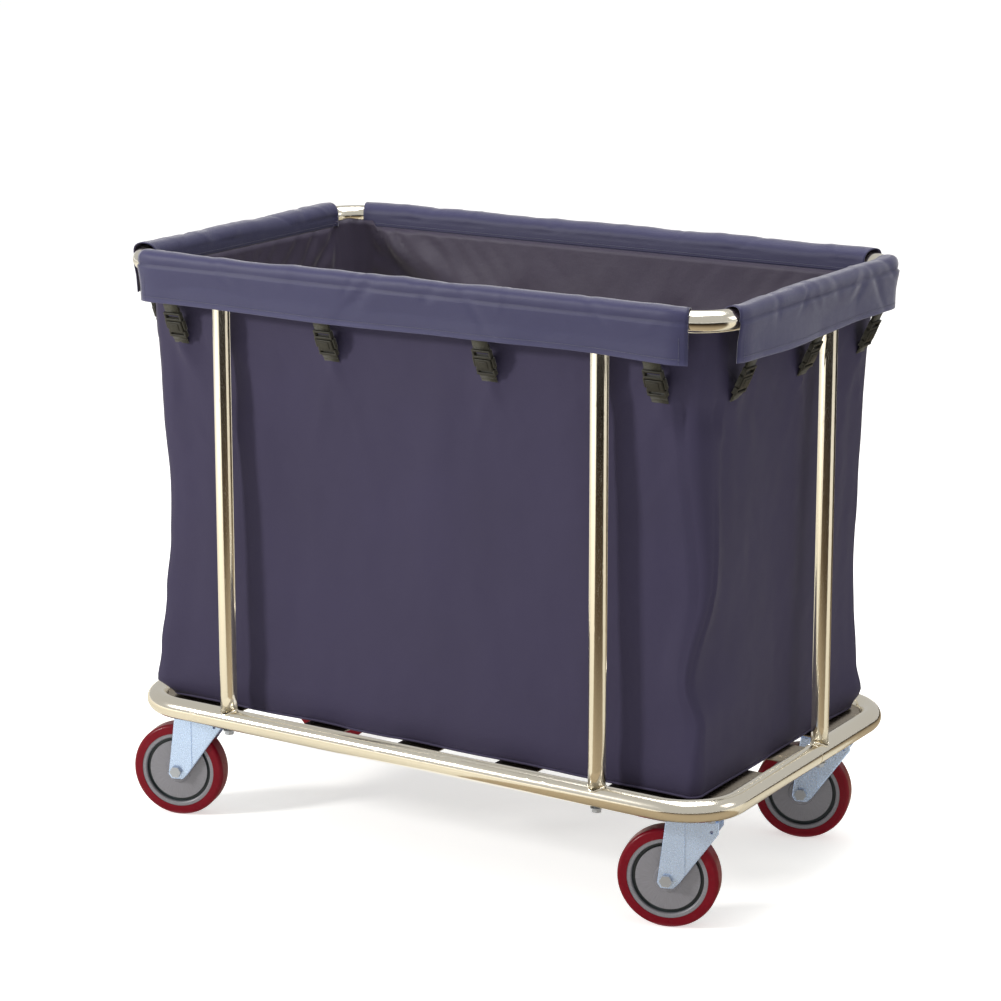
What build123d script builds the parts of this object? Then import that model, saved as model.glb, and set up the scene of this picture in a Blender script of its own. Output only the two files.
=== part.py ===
"""Linen trolley: a tube frame on four swivel casters, with a cloth bag hung inside it.

Millimetres, +X along the length, +Y to the back, +Z up, origin on the floor under the frame's centre.
"""

from build123d import *

import os
from math import asin, atan2, cos, degrees, radians, sin, sqrt

os.makedirs("parts", exist_ok=True)

# Tube frame
frame_length = 1016.0  # over the base tube
frame_width = 600.0
base_diameter = 32.0
base_wall = 1.5
base_corner = 80.0  # bend radius on the tube's centreline
base_z = 192.0
top_diameter = 30.0
top_wall = 1.2
top_corner = 66.0
top_z = 868.0
upright_diameter = 25.0
upright_wall = 1.2
upright_x = 316.0  # the four uprights on the long sides
end_upright_y = 50.0  # the two end uprights stand behind the middle
weld_gap = 0.05

# Deck of flat steel under the bag
sheet = 2.0
strip_width = 70.0
strip_pitch = 166.0
long_strip_width = 74.0
strip_above_rail = 3.0  # the deck's underside, above the base tube's centreline
plate_inner_x = 316.0
plate_inner_y = 90.0

# Fasteners
bolt_diameter = 8.0
hole_clearance = 0.2
head_chamfer = 0.6
washer_diameter = 18.0
washer_thickness = 1.6
head_across_flats = 13.0
head_height = 5.3
bolt_end_gap = 0.5
plug_above_rail = 1.0
plug_length = 36.0

# Casters
caster_x = 428.0
caster_y = 208.0
caster_turn = 17.5  # how far the wheels stand turned from the length of the trolley
trail = 34.0
wheel_diameter = 144.0
wheel_width = 32.0
tyre_inner_radius = 57.6
pad_thickness = 5.0
pad_inner_x = 368.0
pad_inner_y = 160.0
plate_length = 100.0
plate_width = 74.0
plate_thickness = 4.0
plate_radius = 8.0
hole_pitch_x = 76.0
hole_pitch_y = 48.0
crown_top = 162.5
fork_metal = 3.0
fork_gap = 37.0  # between the legs
kingpin_radius = 6.0
running_gap = 0.05
kingpin_head_radius = 10.0
kingpin_head_height = 3.5
race_height = 2.7
race_inner_radius = 17.0
race_outer_radius = 24.5
skirt_radius = 30.0
skirt_height = 8.0
crown_bend_radius = 2.5
foot_bend_radius = 3.0
rib_from_swivel = 9.0  # the legs are embossed from here to their front edge
rib_height = 1.2
rib_margin = 1.6
rivet_from_swivel = -28.0
rivet_z = 147.0
rivet_hole_radius = 2.5
ball_radius = 3.0
ball_circle = 21.0
ball_count = 16
axle_radius = 5.0
sleeve_radius = 7.5
bearing_seat_radius = 14.0
bearing_width = 8.0
bearing_outer_end = 16.5  # from the middle of the wheel
axle_head_across_flats = 16.0
axle_head_height = 6.0
axle_nut_height = 8.0
axle_end = 2.0  # past the nut
tread_shoulder = 6.0

# Bag
cloth = 2.0
seam_z = 853.0  # the flaps' lower edge inside the rail, sewn to the walls
bag_floor_z = 199.3
bag_top_length = 949.0
bag_top_width = 533.0
bag_bottom_length = 904.0
bag_bottom_width = 494.0
panel_gap = 0.1
flap_front_length = 900.0
flap_end_length = 480.0
flap_bottom_z = 813.0
flap_gap = 0.3  # between the flap and the tube it lies on

# Straps with side-release buckles
strap_width = 25.0
strap_thickness = 1.5
strap_start_z = 816.0
strap_start_out = 13.5  # from the rail's centreline, inside the flap
strap_end_out = -19.6  # on the wall
strap_drop = 62.0
buckle_width = 30.0
buckle_thickness = 9.0
socket_length = 27.0
clip_length = 15.0
tongue_length = 14.0
tongue_width = 12.0
tongue_thickness = 3.0
tongue_gap = 0.5
tongue_root = 1.0  # how far the tongue reaches into the clip's body
socket_corner = 5.0
clip_corner = 4.0
side_strap_x = (-400.0, -133.0, 133.0, 400.0)
end_strap_y = (-200.0, 0.0, 190.0)

# Worked out from the driving sizes
half_length = (frame_length - base_diameter) / 2  # to the tubes' centrelines
half_width = (frame_width - base_diameter) / 2
rail_underside = base_z - base_diameter / 2
strip_z = base_z + strip_above_rail
wall_top_z = seam_z - 5 * panel_gap
plate_bottom = rail_underside - plate_thickness
wheel_radius = wheel_diameter / 2
crown_bottom = crown_top - fork_metal
bearing_middle = bearing_outer_end - bearing_width / 2
bearing_section = bearing_seat_radius - sleeve_radius - 2 * running_gap
bearing_mean_radius = (bearing_seat_radius + sleeve_radius) / 2
# The fork's side, as distance from the swivel towards the wheel and height
fork_outline = [
    (36, crown_top),
    (48, 66),
    (42.5, 59),
    (25, 59),
    (17, 67),
    (-38, 144.5),
    (-38, crown_top),
]
# Half of the rim's section, as distance from the wheel's middle and radius
rim_outline = [
    (0, 9),
    (bearing_outer_end - bearing_width - panel_gap, 9),
    (bearing_outer_end - bearing_width - panel_gap, bearing_seat_radius),
    (17, bearing_seat_radius),
    (17, 18),
    (13.5, 20),
    (12.5, 46),
    (8.5, 47),
    (8.5, 50.5),
    (14.5, 51.8),
    (15.3, 53),
    (15.3, tyre_inner_radius - weld_gap),
    (0, tyre_inner_radius - weld_gap),
]
UPRIGHTS = {
    "front_left": (-upright_x, -half_width),
    "front_right": (upright_x, -half_width),
    "back_left": (-upright_x, half_width),
    "back_right": (upright_x, half_width),
    "left_end": (-half_length, end_upright_y),
    "right_end": (half_length, end_upright_y),
}
CASTERS = {
    "front_left": (-caster_x, -caster_y),
    "front_right": (caster_x, -caster_y),
    "back_left": (-caster_x, caster_y),
    "back_right": (caster_x, caster_y),
}


def loop_corners():
    """Corners of the frame's plan, on the tubes' centreline."""
    return [
        (-half_length, -half_width),
        (half_length, -half_width),
        (half_length, half_width),
        (-half_length, half_width),
    ]


def inset(height):
    """How far a flat edge at this height above the base tube's centre stands in from the centreline."""
    return sqrt((base_diameter / 2 + weld_gap) ** 2 - height**2)


# --- Rails: closed loops of bent tube ---

with BuildPart() as base_rail:
    with BuildLine(Plane.XY.offset(base_z)) as base_path:
        FilletPolyline(*loop_corners(), radius=base_corner, close=True)
    with BuildSketch(base_path.line ^ 0):
        Circle(base_diameter / 2)
        Circle(base_diameter / 2 - base_wall, mode=Mode.SUBTRACT)
    sweep()
    with BuildSketch(Plane.XY.offset(rail_underside - 1)):
        with Locations(*UPRIGHTS.values()):
            Circle(bolt_diameter / 2 + hole_clearance)
    extrude(amount=base_diameter + 2, mode=Mode.SUBTRACT)
base_rail.part.label = "base_rail"
export_step(base_rail.part, "parts/base_rail.step")

with BuildPart() as top_rail:
    with BuildLine(Plane.XY.offset(top_z)) as top_path:
        FilletPolyline(*loop_corners(), radius=top_corner, close=True)
    with BuildSketch(top_path.line ^ 0):
        Circle(top_diameter / 2)
        Circle(top_diameter / 2 - top_wall, mode=Mode.SUBTRACT)
    sweep()
top_rail.part.label = "top_rail"
export_step(top_rail.part, "parts/top_rail.step")

# --- Uprights, coped round both rails ---

for place, (x, y) in UPRIGHTS.items():
    along = (0, 90, 0) if abs(y) == half_width else (90, 0, 0)
    with BuildPart() as upright:
        with BuildSketch(Plane.XY.offset(base_z)):
            with Locations((x, y)):
                Circle(upright_diameter / 2)
                Circle(upright_diameter / 2 - upright_wall, mode=Mode.SUBTRACT)
        extrude(amount=top_z - base_z)
        with Locations((x, y, base_z)):
            Cylinder(base_diameter / 2 + weld_gap, 3 * base_diameter, rotation=along, mode=Mode.SUBTRACT)
        with Locations((x, y, top_z)):
            Cylinder(top_diameter / 2 + weld_gap, 3 * top_diameter, rotation=along, mode=Mode.SUBTRACT)
    upright.part.label = f"upright_{place}"
    export_step(upright.part, f"parts/upright_{place}.step")

# Threaded plugs pressed into the feet of the uprights, and the bolts that pull them onto the rail
plug_z = base_z + base_diameter / 2 + plug_above_rail
with BuildPart() as upright_plugs:
    with BuildSketch(Plane.XY.offset(plug_z)):
        with Locations(*UPRIGHTS.values()):
            Circle(upright_diameter / 2 - upright_wall - weld_gap)
            Circle(bolt_diameter / 2 + weld_gap, mode=Mode.SUBTRACT)
    extrude(amount=plug_length)
upright_plugs.part.label = "upright_plugs"
export_step(upright_plugs.part, "parts/upright_plugs.step")

with BuildPart() as upright_bolts:
    with BuildSketch(Plane.XY.offset(rail_underside - washer_thickness - head_height)):
        with Locations(*UPRIGHTS.values()):
            RegularPolygon(head_across_flats / 2, 6, major_radius=False)
    extrude(amount=head_height)
    chamfer(upright_bolts.faces().sort_by(Axis.Z)[0 : len(UPRIGHTS)].edges(), head_chamfer)
    with BuildSketch(Plane.XY.offset(rail_underside - washer_thickness)):
        with Locations(*UPRIGHTS.values()):
            Circle(bolt_diameter / 2)
    extrude(amount=plug_z + plug_length - bolt_diameter - rail_underside)
upright_bolts.part.label = "upright_bolts"
export_step(upright_bolts.part, "parts/upright_bolts.step")

with BuildPart() as upright_washers:
    with BuildSketch(Plane.XY.offset(rail_underside - washer_thickness)):
        with Locations(*UPRIGHTS.values()):
            Circle(washer_diameter / 2)
            Circle(bolt_diameter / 2 + hole_clearance, mode=Mode.SUBTRACT)
    extrude(amount=washer_thickness)
upright_washers.part.label = "upright_washers"
export_step(upright_washers.part, "parts/upright_washers.step")

# --- Deck: three cross strips, one long strip over them, four corner plates ---

cross_reach = half_width - inset(strip_z - base_z)
for place, x in (("left", -strip_pitch), ("middle", 0.0), ("right", strip_pitch)):
    with BuildPart() as strip:
        with BuildSketch(Plane.XY.offset(strip_z)):
            with Locations((x, 0)):
                Rectangle(strip_width, 2 * cross_reach)
        extrude(amount=sheet)
    strip.part.label = f"deck_strip_{place}"
    export_step(strip.part, f"parts/deck_strip_{place}.step")

with BuildPart() as deck_strip_long:
    with BuildSketch(Plane.XY.offset(strip_z + sheet)):
        Rectangle(2 * (half_length - inset(strip_z + sheet - base_z)), long_strip_width)
    extrude(amount=sheet)
deck_strip_long.part.label = "deck_strip_long"
export_step(deck_strip_long.part, "parts/deck_strip_long.step")

plate_inset = inset(strip_z - base_z)
with BuildPart() as corner_plates:
    with BuildSketch(Plane.XY.offset(strip_z)):
        RectangleRounded(
            2 * (half_length - plate_inset), 2 * (half_width - plate_inset), base_corner - plate_inset
        )
        Rectangle(2 * plate_inner_x, frame_width, mode=Mode.SUBTRACT)
        Rectangle(frame_length, 2 * plate_inner_y, mode=Mode.SUBTRACT)
    extrude(amount=sheet)
corner_plates.part.label = "corner_plates"
export_step(corner_plates.part, "parts/corner_plates.step")

# --- Caster pads welded inside the rail's corners, with tapped holes ---

bolt_spots = [
    (x + dx, y + dy)
    for x, y in CASTERS.values()
    for dx in (-hole_pitch_x / 2, hole_pitch_x / 2)
    for dy in (-hole_pitch_y / 2, hole_pitch_y / 2)
]
pad_inset = inset(rail_underside + pad_thickness - base_z)
with BuildPart() as caster_pads:
    with BuildSketch(Plane.XY.offset(rail_underside)):
        RectangleRounded(
            2 * (half_length - pad_inset), 2 * (half_width - pad_inset), base_corner - pad_inset
        )
        Rectangle(2 * pad_inner_x, frame_width, mode=Mode.SUBTRACT)
        Rectangle(frame_length, 2 * pad_inner_y, mode=Mode.SUBTRACT)
        with Locations(*bolt_spots):
            Circle(bolt_diameter / 2 + weld_gap, mode=Mode.SUBTRACT)
        with Locations(*CASTERS.values()):
            Circle(kingpin_radius + running_gap, mode=Mode.SUBTRACT)
    extrude(amount=pad_thickness)
caster_pads.part.label = "caster_pads"
export_step(caster_pads.part, "parts/caster_pads.step")

with BuildPart() as caster_bolts:
    with BuildSketch(Plane.XY.offset(plate_bottom - head_height)):
        with Locations(*bolt_spots):
            RegularPolygon(head_across_flats / 2, 6, major_radius=False)
    extrude(amount=head_height)
    chamfer(caster_bolts.faces().sort_by(Axis.Z)[0 : len(bolt_spots)].edges(), head_chamfer)
    with BuildSketch(Plane.XY.offset(plate_bottom)):
        with Locations(*bolt_spots):
            Circle(bolt_diameter / 2)
    extrude(amount=plate_thickness + pad_thickness - bolt_end_gap)
caster_bolts.part.label = "caster_bolts"
export_step(caster_bolts.part, "parts/caster_bolts.step")

# --- Swivel heads: kingpins and balls ---

ball_z = crown_top + race_height + running_gap + ball_radius
with BuildPart() as caster_kingpins:
    with BuildSketch(Plane.XY.offset(crown_bottom - running_gap - kingpin_head_height)):
        with Locations(*CASTERS.values()):
            Circle(kingpin_head_radius)
    extrude(amount=kingpin_head_height)
    with BuildSketch(Plane.XY.offset(crown_bottom - running_gap)):
        with Locations(*CASTERS.values()):
            Circle(kingpin_radius)
    extrude(amount=rail_underside + pad_thickness - crown_bottom)
caster_kingpins.part.label = "caster_kingpins"
export_step(caster_kingpins.part, "parts/caster_kingpins.step")

with BuildPart() as caster_balls:
    for x, y in CASTERS.values():
        with Locations((x, y, ball_z)):
            with PolarLocations(ball_circle, ball_count):
                Sphere(ball_radius)
caster_balls.part.label = "caster_balls"
export_step(caster_balls.part, "parts/caster_balls.step")

# --- One swivel caster at each corner ---

turn = radians(caster_turn)
backward = Vector(-cos(turn), -sin(turn), 0)  # from the swivel towards the wheel
across = Vector(-sin(turn), cos(turn), 0)  # along the axle, towards the back of the trolley
leg_outer = fork_gap / 2 + fork_metal
head_seat = leg_outer + rib_height + running_gap  # where the axle's head and nut sit
for place, (x, y) in CASTERS.items():
    side = Plane(origin=(x, y, 0), x_dir=backward, z_dir=across)
    hub = Vector(x, y, wheel_radius) + backward * trail
    axle_start = Plane(origin=hub, z_dir=across)
    wheel_section = Plane(origin=hub, x_dir=across, z_dir=across.cross(Vector(0, 0, 1)))

    with BuildPart() as plate:
        with BuildSketch(Plane.XY.offset(plate_bottom)):
            with Locations((x, y)):
                RectangleRounded(plate_length, plate_width, plate_radius)
                Circle(kingpin_radius + running_gap, mode=Mode.SUBTRACT)
                with GridLocations(hole_pitch_x, hole_pitch_y, 2, 2):
                    Circle(bolt_diameter / 2 + hole_clearance, mode=Mode.SUBTRACT)
        extrude(amount=plate_thickness)
        with BuildSketch(Plane.XY.offset(plate_bottom - skirt_height)):
            with Locations((x, y)):
                Circle(skirt_radius)
                Circle(skirt_radius - fork_metal, mode=Mode.SUBTRACT)
        extrude(amount=skirt_height)
        with BuildSketch(Plane.XY.offset(ball_z + ball_radius + running_gap)):
            with Locations((x, y)):
                Circle(race_outer_radius)
                Circle(race_inner_radius, mode=Mode.SUBTRACT)
        extrude(amount=plate_bottom - ball_z - ball_radius - running_gap)
    plate.part.label = f"caster_{place}_plate"
    export_step(plate.part, f"parts/caster_{place}_plate.step")

    with BuildPart() as fork:
        with BuildSketch(side.offset(-leg_outer)) as profile:
            with BuildLine():
                Polyline(*fork_outline, close=True)
            make_face()
            fillet(profile.vertices().group_by(Axis.Z)[0], foot_bend_radius)
        extrude(amount=2 * leg_outer)
        fillet(fork.edges().filter_by(Axis((0, 0, 0), backward)).group_by(Axis.Z)[-1], crown_bend_radius)
        with BuildSketch(side.offset(-fork_gap / 2)):
            with Locations((0, crown_bottom / 2)):
                Rectangle(4 * wheel_radius, crown_bottom)
        extrude(amount=fork_gap, mode=Mode.SUBTRACT)
        for face_plane in (side.offset(-leg_outer - rib_height), side.offset(leg_outer)):
            with BuildSketch(face_plane):
                with BuildLine():
                    Polyline(*fork_outline, close=True)
                make_face()
                offset(amount=-rib_margin)
                with Locations((rib_from_swivel + wheel_radius, wheel_radius)):
                    Rectangle(wheel_diameter, 2 * (crown_bottom - wheel_radius), mode=Mode.INTERSECT)
            extrude(amount=rib_height)
        with BuildSketch(side.offset(-2 * leg_outer)):
            with Locations((trail, wheel_radius)):
                Circle(axle_radius + running_gap)
            with Locations((rivet_from_swivel, rivet_z)):
                Circle(rivet_hole_radius)
        extrude(amount=4 * leg_outer, mode=Mode.SUBTRACT)
        with BuildSketch(Plane.XY.offset(crown_top)):
            with Locations((x, y)):
                Circle(race_outer_radius)
                Circle(race_inner_radius, mode=Mode.SUBTRACT)
        extrude(amount=race_height)
        with BuildSketch(Plane.XY.offset(crown_bottom)):
            with Locations((x, y)):
                Circle(kingpin_radius + running_gap)
        extrude(amount=fork_metal, mode=Mode.SUBTRACT)
    fork.part.label = f"caster_{place}_fork"
    export_step(fork.part, f"parts/caster_{place}_fork.step")

    # Bolt, nut and the sleeve that keeps the legs apart
    with BuildPart() as axle:
        with BuildSketch(axle_start.offset(-head_seat - axle_head_height)):
            RegularPolygon(axle_head_across_flats / 2, 6, major_radius=False)
        extrude(amount=axle_head_height)
        with BuildSketch(axle_start.offset(-head_seat)):
            Circle(axle_radius)
        extrude(amount=2 * head_seat + axle_nut_height + axle_end)
        with BuildSketch(axle_start.offset(head_seat)):
            RegularPolygon(axle_head_across_flats / 2, 6, major_radius=False)
            Circle(axle_radius + running_gap, mode=Mode.SUBTRACT)
        extrude(amount=axle_nut_height)
        with BuildSketch(axle_start.offset(-fork_gap / 2 + running_gap)):
            Circle(sleeve_radius)
            Circle(axle_radius + running_gap, mode=Mode.SUBTRACT)
        extrude(amount=fork_gap - 2 * running_gap)
    axle.part.label = f"caster_{place}_axle"
    export_step(axle.part, f"parts/caster_{place}_axle.step")

    with BuildPart() as tyre:
        with BuildSketch(wheel_section) as tyre_section:
            with Locations((0, (wheel_radius + tyre_inner_radius) / 2)):
                Rectangle(wheel_width, wheel_radius - tyre_inner_radius)
            fillet(tyre_section.vertices().group_by(Axis.Y)[-1], tread_shoulder)
        revolve(axis=Axis(hub, across))
    tyre.part.label = f"caster_{place}_tyre"
    export_step(tyre.part, f"parts/caster_{place}_tyre.step")

    with BuildPart() as rim:
        with BuildSketch(wheel_section):
            with BuildLine():
                Polyline(*rim_outline)
                mirror(about=Plane.YZ)
            make_face()
        revolve(axis=Axis(hub, across))
    rim.part.label = f"caster_{place}_rim"
    export_step(rim.part, f"parts/caster_{place}_rim.step")

    with BuildPart() as bearings:
        with BuildSketch(wheel_section):
            with Locations((-bearing_middle, bearing_mean_radius), (bearing_middle, bearing_mean_radius)):
                Rectangle(bearing_width, bearing_section)
        revolve(axis=Axis(hub, across))
    bearings.part.label = f"caster_{place}_bearings"
    export_step(bearings.part, f"parts/caster_{place}_bearings.step")

# --- Bag: five cloth panels; the walls lean out from the floor to the rails ---

between_walls = 2 * (cloth + panel_gap)  # what the end walls leave to the long ones
WALLS = {
    "front": ((0, -1), (bag_bottom_length, cloth), (bag_top_length, cloth)),
    "back": ((0, 1), (bag_bottom_length, cloth), (bag_top_length, cloth)),
    "left": ((-1, 0), (cloth, bag_bottom_width - between_walls), (cloth, bag_top_width - between_walls)),
    "right": ((1, 0), (cloth, bag_bottom_width - between_walls), (cloth, bag_top_width - between_walls)),
}
for name, ((side_x, side_y), foot_size, mouth_size) in WALLS.items():
    with BuildPart() as wall:
        with BuildSketch(Plane.XY.offset(bag_floor_z)):
            with Locations(
                (side_x * (bag_bottom_length - cloth) / 2, side_y * (bag_bottom_width - cloth) / 2)
            ):
                Rectangle(*foot_size)
        with BuildSketch(Plane.XY.offset(wall_top_z)):
            with Locations((side_x * (bag_top_length - cloth) / 2, side_y * (bag_top_width - cloth) / 2)):
                Rectangle(*mouth_size)
        loft()
    wall.part.label = f"bag_{name}"
    export_step(wall.part, f"parts/bag_{name}.step")

with BuildPart() as bag_floor:
    with BuildSketch(Plane.XY.offset(bag_floor_z)):
        Rectangle(
            bag_bottom_length - 2 * (cloth + panel_gap), bag_bottom_width - 2 * (cloth + panel_gap)
        )
    extrude(amount=cloth)
bag_floor.part.label = "bag_floor"
export_step(bag_floor.part, "parts/bag_floor.step")

# --- Flaps: the bag's upper edge, folded outwards over the top rail ---

flap_inside = top_diameter / 2 + flap_gap
flap_outside = flap_inside + cloth
SIDES = {
    "front": (Vector(0, -1, 0), half_width, flap_front_length, side_strap_x),
    "back": (Vector(0, 1, 0), half_width, flap_front_length, side_strap_x),
    "left": (Vector(-1, 0, 0), half_length, flap_end_length, end_strap_y),
    "right": (Vector(1, 0, 0), half_length, flap_end_length, end_strap_y),
}
for name, (outward, reach, length, _) in SIDES.items():
    # The flap's path runs anticlockwise seen from above, and starts and ends on the rail's bends
    along = Vector(0, 0, 1).cross(outward)
    straight = half_length + half_width - reach - top_corner
    bend = degrees(asin((length / 2 - straight) / top_corner))
    facing = degrees(atan2(outward.Y, outward.X))
    first_centre = outward * (reach - top_corner) - along * straight
    last_centre = outward * (reach - top_corner) + along * straight
    with BuildPart() as flap:
        with BuildLine(Plane.XY.offset(top_z)) as flap_path:
            first = CenterArc(first_centre, top_corner, facing - bend, bend)
            last = CenterArc(last_centre, top_corner, facing, bend)
            Line(first @ 1, last @ 0)
        start = first @ 0
        outwards = Vector(start.X, start.Y, 0) - first_centre
        section = Plane(
            origin=(start.X, start.Y, top_z), x_dir=outwards, z_dir=outwards.cross(Vector(0, 0, 1))
        )
        with BuildSketch(section):
            with BuildLine():
                Line((-flap_outside, seam_z - top_z), (-flap_outside, 0))
                ThreePointArc((-flap_outside, 0), (0, flap_outside), (flap_outside, 0))
                Line((flap_outside, 0), (flap_outside, flap_bottom_z - top_z))
                Line((flap_outside, flap_bottom_z - top_z), (flap_inside, flap_bottom_z - top_z))
                Line((flap_inside, flap_bottom_z - top_z), (flap_inside, 0))
                ThreePointArc((flap_inside, 0), (0, flap_inside), (-flap_inside, 0))
                Line((-flap_inside, 0), (-flap_inside, seam_z - top_z))
                Line((-flap_inside, seam_z - top_z), (-flap_outside, seam_z - top_z))
            make_face()
        sweep(path=flap_path.line)
    flap.part.label = f"flap_{name}"
    export_step(flap.part, f"parts/flap_{name}.step")

# --- Straps from under the flaps to the bag's walls, each with a side-release buckle ---


def buckle_planes():
    """One plane for each strap: x across the webbing, y down it, origin at the strap's middle."""
    planes = []
    for outward, reach, _, strap_spots in SIDES.values():
        along = Vector(abs(outward.Y), abs(outward.X), 0)
        start = outward * (reach + strap_start_out) + Vector(0, 0, strap_start_z)
        end = outward * (reach + strap_end_out) + Vector(0, 0, strap_start_z - strap_drop)
        down = (end - start).normalized()
        for spot in strap_spots:
            middle = (start + end) * 0.5 + along * spot
            planes.append(Plane(origin=middle, x_dir=along, z_dir=along.cross(down)))
    return planes


strap_planes = buckle_planes()
strap_half = sqrt((strap_start_out - strap_end_out) ** 2 + strap_drop**2) / 2
socket_middle = (socket_length - clip_length) / 2 + panel_gap
buckle_half = (socket_length + clip_length) / 2
webbing = strap_half - buckle_half - 2 * panel_gap

with BuildPart() as tie_straps:
    with BuildSketch(*strap_planes):
        with Locations((0, -strap_half + webbing / 2), (0, strap_half - webbing / 2)):
            Rectangle(strap_width, webbing)
    extrude(amount=strap_thickness / 2, both=True)
tie_straps.part.label = "tie_straps"
export_step(tie_straps.part, "parts/tie_straps.step")

with BuildPart() as buckle_sockets:
    with BuildSketch(*strap_planes):
        with Locations((0, buckle_half - socket_length / 2)):
            RectangleRounded(buckle_width, socket_length, socket_corner)
    extrude(amount=buckle_thickness / 2, both=True)
    with BuildSketch(*strap_planes):
        with Locations((0, buckle_half - socket_length + tongue_length / 2)):
            Rectangle(tongue_width + 2 * tongue_gap, tongue_length + 2 * tongue_gap)
    extrude(amount=tongue_thickness / 2 + tongue_gap, both=True, mode=Mode.SUBTRACT)
buckle_sockets.part.label = "buckle_sockets"
export_step(buckle_sockets.part, "parts/buckle_sockets.step")

with BuildPart() as buckle_clips:
    with BuildSketch(*strap_planes):
        with Locations((0, -buckle_half + clip_length / 2 - panel_gap)):
            RectangleRounded(buckle_width, clip_length, clip_corner)
    extrude(amount=buckle_thickness / 2, both=True)
    with BuildSketch(*strap_planes):
        with Locations((0, -buckle_half + clip_length + tongue_length / 2 - tongue_root)):
            Rectangle(tongue_width, tongue_length)
    extrude(amount=tongue_thickness / 2, both=True)
buckle_clips.part.label = "buckle_clips"
export_step(buckle_clips.part, "parts/buckle_clips.step")
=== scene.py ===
"""Linen trolley: polished tube frame on swivel casters, with a navy cloth bag hung from its top rail.

Metres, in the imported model's frame: +X along the trolley, +Y to the back, +Z up, floor at z = 0.
"""

import math

import bmesh
import bpy
import numpy as np
from mathutils import Matrix, Vector, noise


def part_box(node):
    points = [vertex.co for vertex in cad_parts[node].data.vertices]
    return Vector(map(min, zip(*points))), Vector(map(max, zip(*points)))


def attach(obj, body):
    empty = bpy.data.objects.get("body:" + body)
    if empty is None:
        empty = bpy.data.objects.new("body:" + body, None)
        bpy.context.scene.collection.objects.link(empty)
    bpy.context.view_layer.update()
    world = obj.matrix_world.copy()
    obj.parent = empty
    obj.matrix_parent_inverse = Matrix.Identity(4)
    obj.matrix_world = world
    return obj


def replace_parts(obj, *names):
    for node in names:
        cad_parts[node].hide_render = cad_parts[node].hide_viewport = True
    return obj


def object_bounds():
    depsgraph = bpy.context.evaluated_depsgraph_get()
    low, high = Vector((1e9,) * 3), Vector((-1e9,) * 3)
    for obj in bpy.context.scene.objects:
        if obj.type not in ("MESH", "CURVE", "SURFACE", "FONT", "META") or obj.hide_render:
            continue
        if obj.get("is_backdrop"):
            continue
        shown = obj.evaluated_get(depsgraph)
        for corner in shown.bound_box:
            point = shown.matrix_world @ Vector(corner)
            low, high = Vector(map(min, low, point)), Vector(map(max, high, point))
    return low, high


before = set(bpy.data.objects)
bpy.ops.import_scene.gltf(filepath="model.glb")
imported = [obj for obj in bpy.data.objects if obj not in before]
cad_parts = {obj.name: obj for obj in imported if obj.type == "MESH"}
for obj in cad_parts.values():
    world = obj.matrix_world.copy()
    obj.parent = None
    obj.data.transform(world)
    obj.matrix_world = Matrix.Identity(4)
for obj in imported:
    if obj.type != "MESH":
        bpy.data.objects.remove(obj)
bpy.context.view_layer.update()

UP = Vector((0, 0, 1))
CORNERS = ("front_left", "front_right", "back_left", "back_right")

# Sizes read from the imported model
rail_low, rail_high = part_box("base_rail")
base_radius = (rail_high.z - rail_low.z) / 2
base_z = (rail_high.z + rail_low.z) / 2
half_length = rail_high.x - base_radius
half_width = rail_high.y - base_radius
top_low, top_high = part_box("top_rail")
top_radius = (top_high.z - top_low.z) / 2
top_z = (top_high.z + top_low.z) / 2
wall_low, wall_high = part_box("bag_front")
bag_foot_z = wall_low.z
bag_mouth_z = wall_high.z
bag_half_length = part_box("bag_right")[1].x
bag_half_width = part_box("bag_back")[1].y
flap_low_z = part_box("flap_front")[0].z
deck_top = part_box("deck_strip_long")[1].z
strap_low, strap_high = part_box("tie_straps")
strap_head_z = strap_high.z
strap_foot_z = strap_low.z

# Sizes that the boxes don't tell
base_bend = 0.080
top_bend = 0.066
upright_wall = 0.0012
bag_foot_half_length = 0.452
bag_foot_half_width = 0.247
caster_turn = math.radians(17.5)
upright_sink = 0.0004  # how far an upright's ends reach into the rails
weld_stand = 0.0004  # how far a weld bead's middle stands off the tubes
weld_radius = 0.0011
joint_y = 0.028  # where the base rail's ends meet
weave_pitch = 0.0011
stitch_stand = 0.0009


# --- Finishes -------------------------------------------------------------------------------------


class Value:
    """A socket of a finish, which Python sums can use."""

    def __init__(self, finish, socket):
        self.finish = finish
        self.socket = socket

    def maths(self, operation, *others):
        return self.finish.node("ShaderNodeMath", {"operation": operation}, self, *others)

    def __add__(self, other):
        return self.maths("ADD", other)

    __radd__ = __add__

    def __sub__(self, other):
        return self.maths("SUBTRACT", other)

    def __rsub__(self, other):
        return self.finish.node("ShaderNodeMath", {"operation": "SUBTRACT"}, other, self)

    def __mul__(self, other):
        return self.maths("MULTIPLY", other)

    def __truediv__(self, other):
        return self.maths("DIVIDE", other)

    def sine(self):
        return self.maths("SINE")

    def size(self):
        return self.maths("ABSOLUTE")

    def above(self, edge, softness):
        """0 below the edge, 1 above it, with a soft step."""
        return self.finish.node(
            "ShaderNodeMapRange", {"interpolation_type": "SMOOTHSTEP"}, self, edge - softness, edge + softness
        )

    def power(self, other):
        return self.maths("POWER", other)


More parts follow.
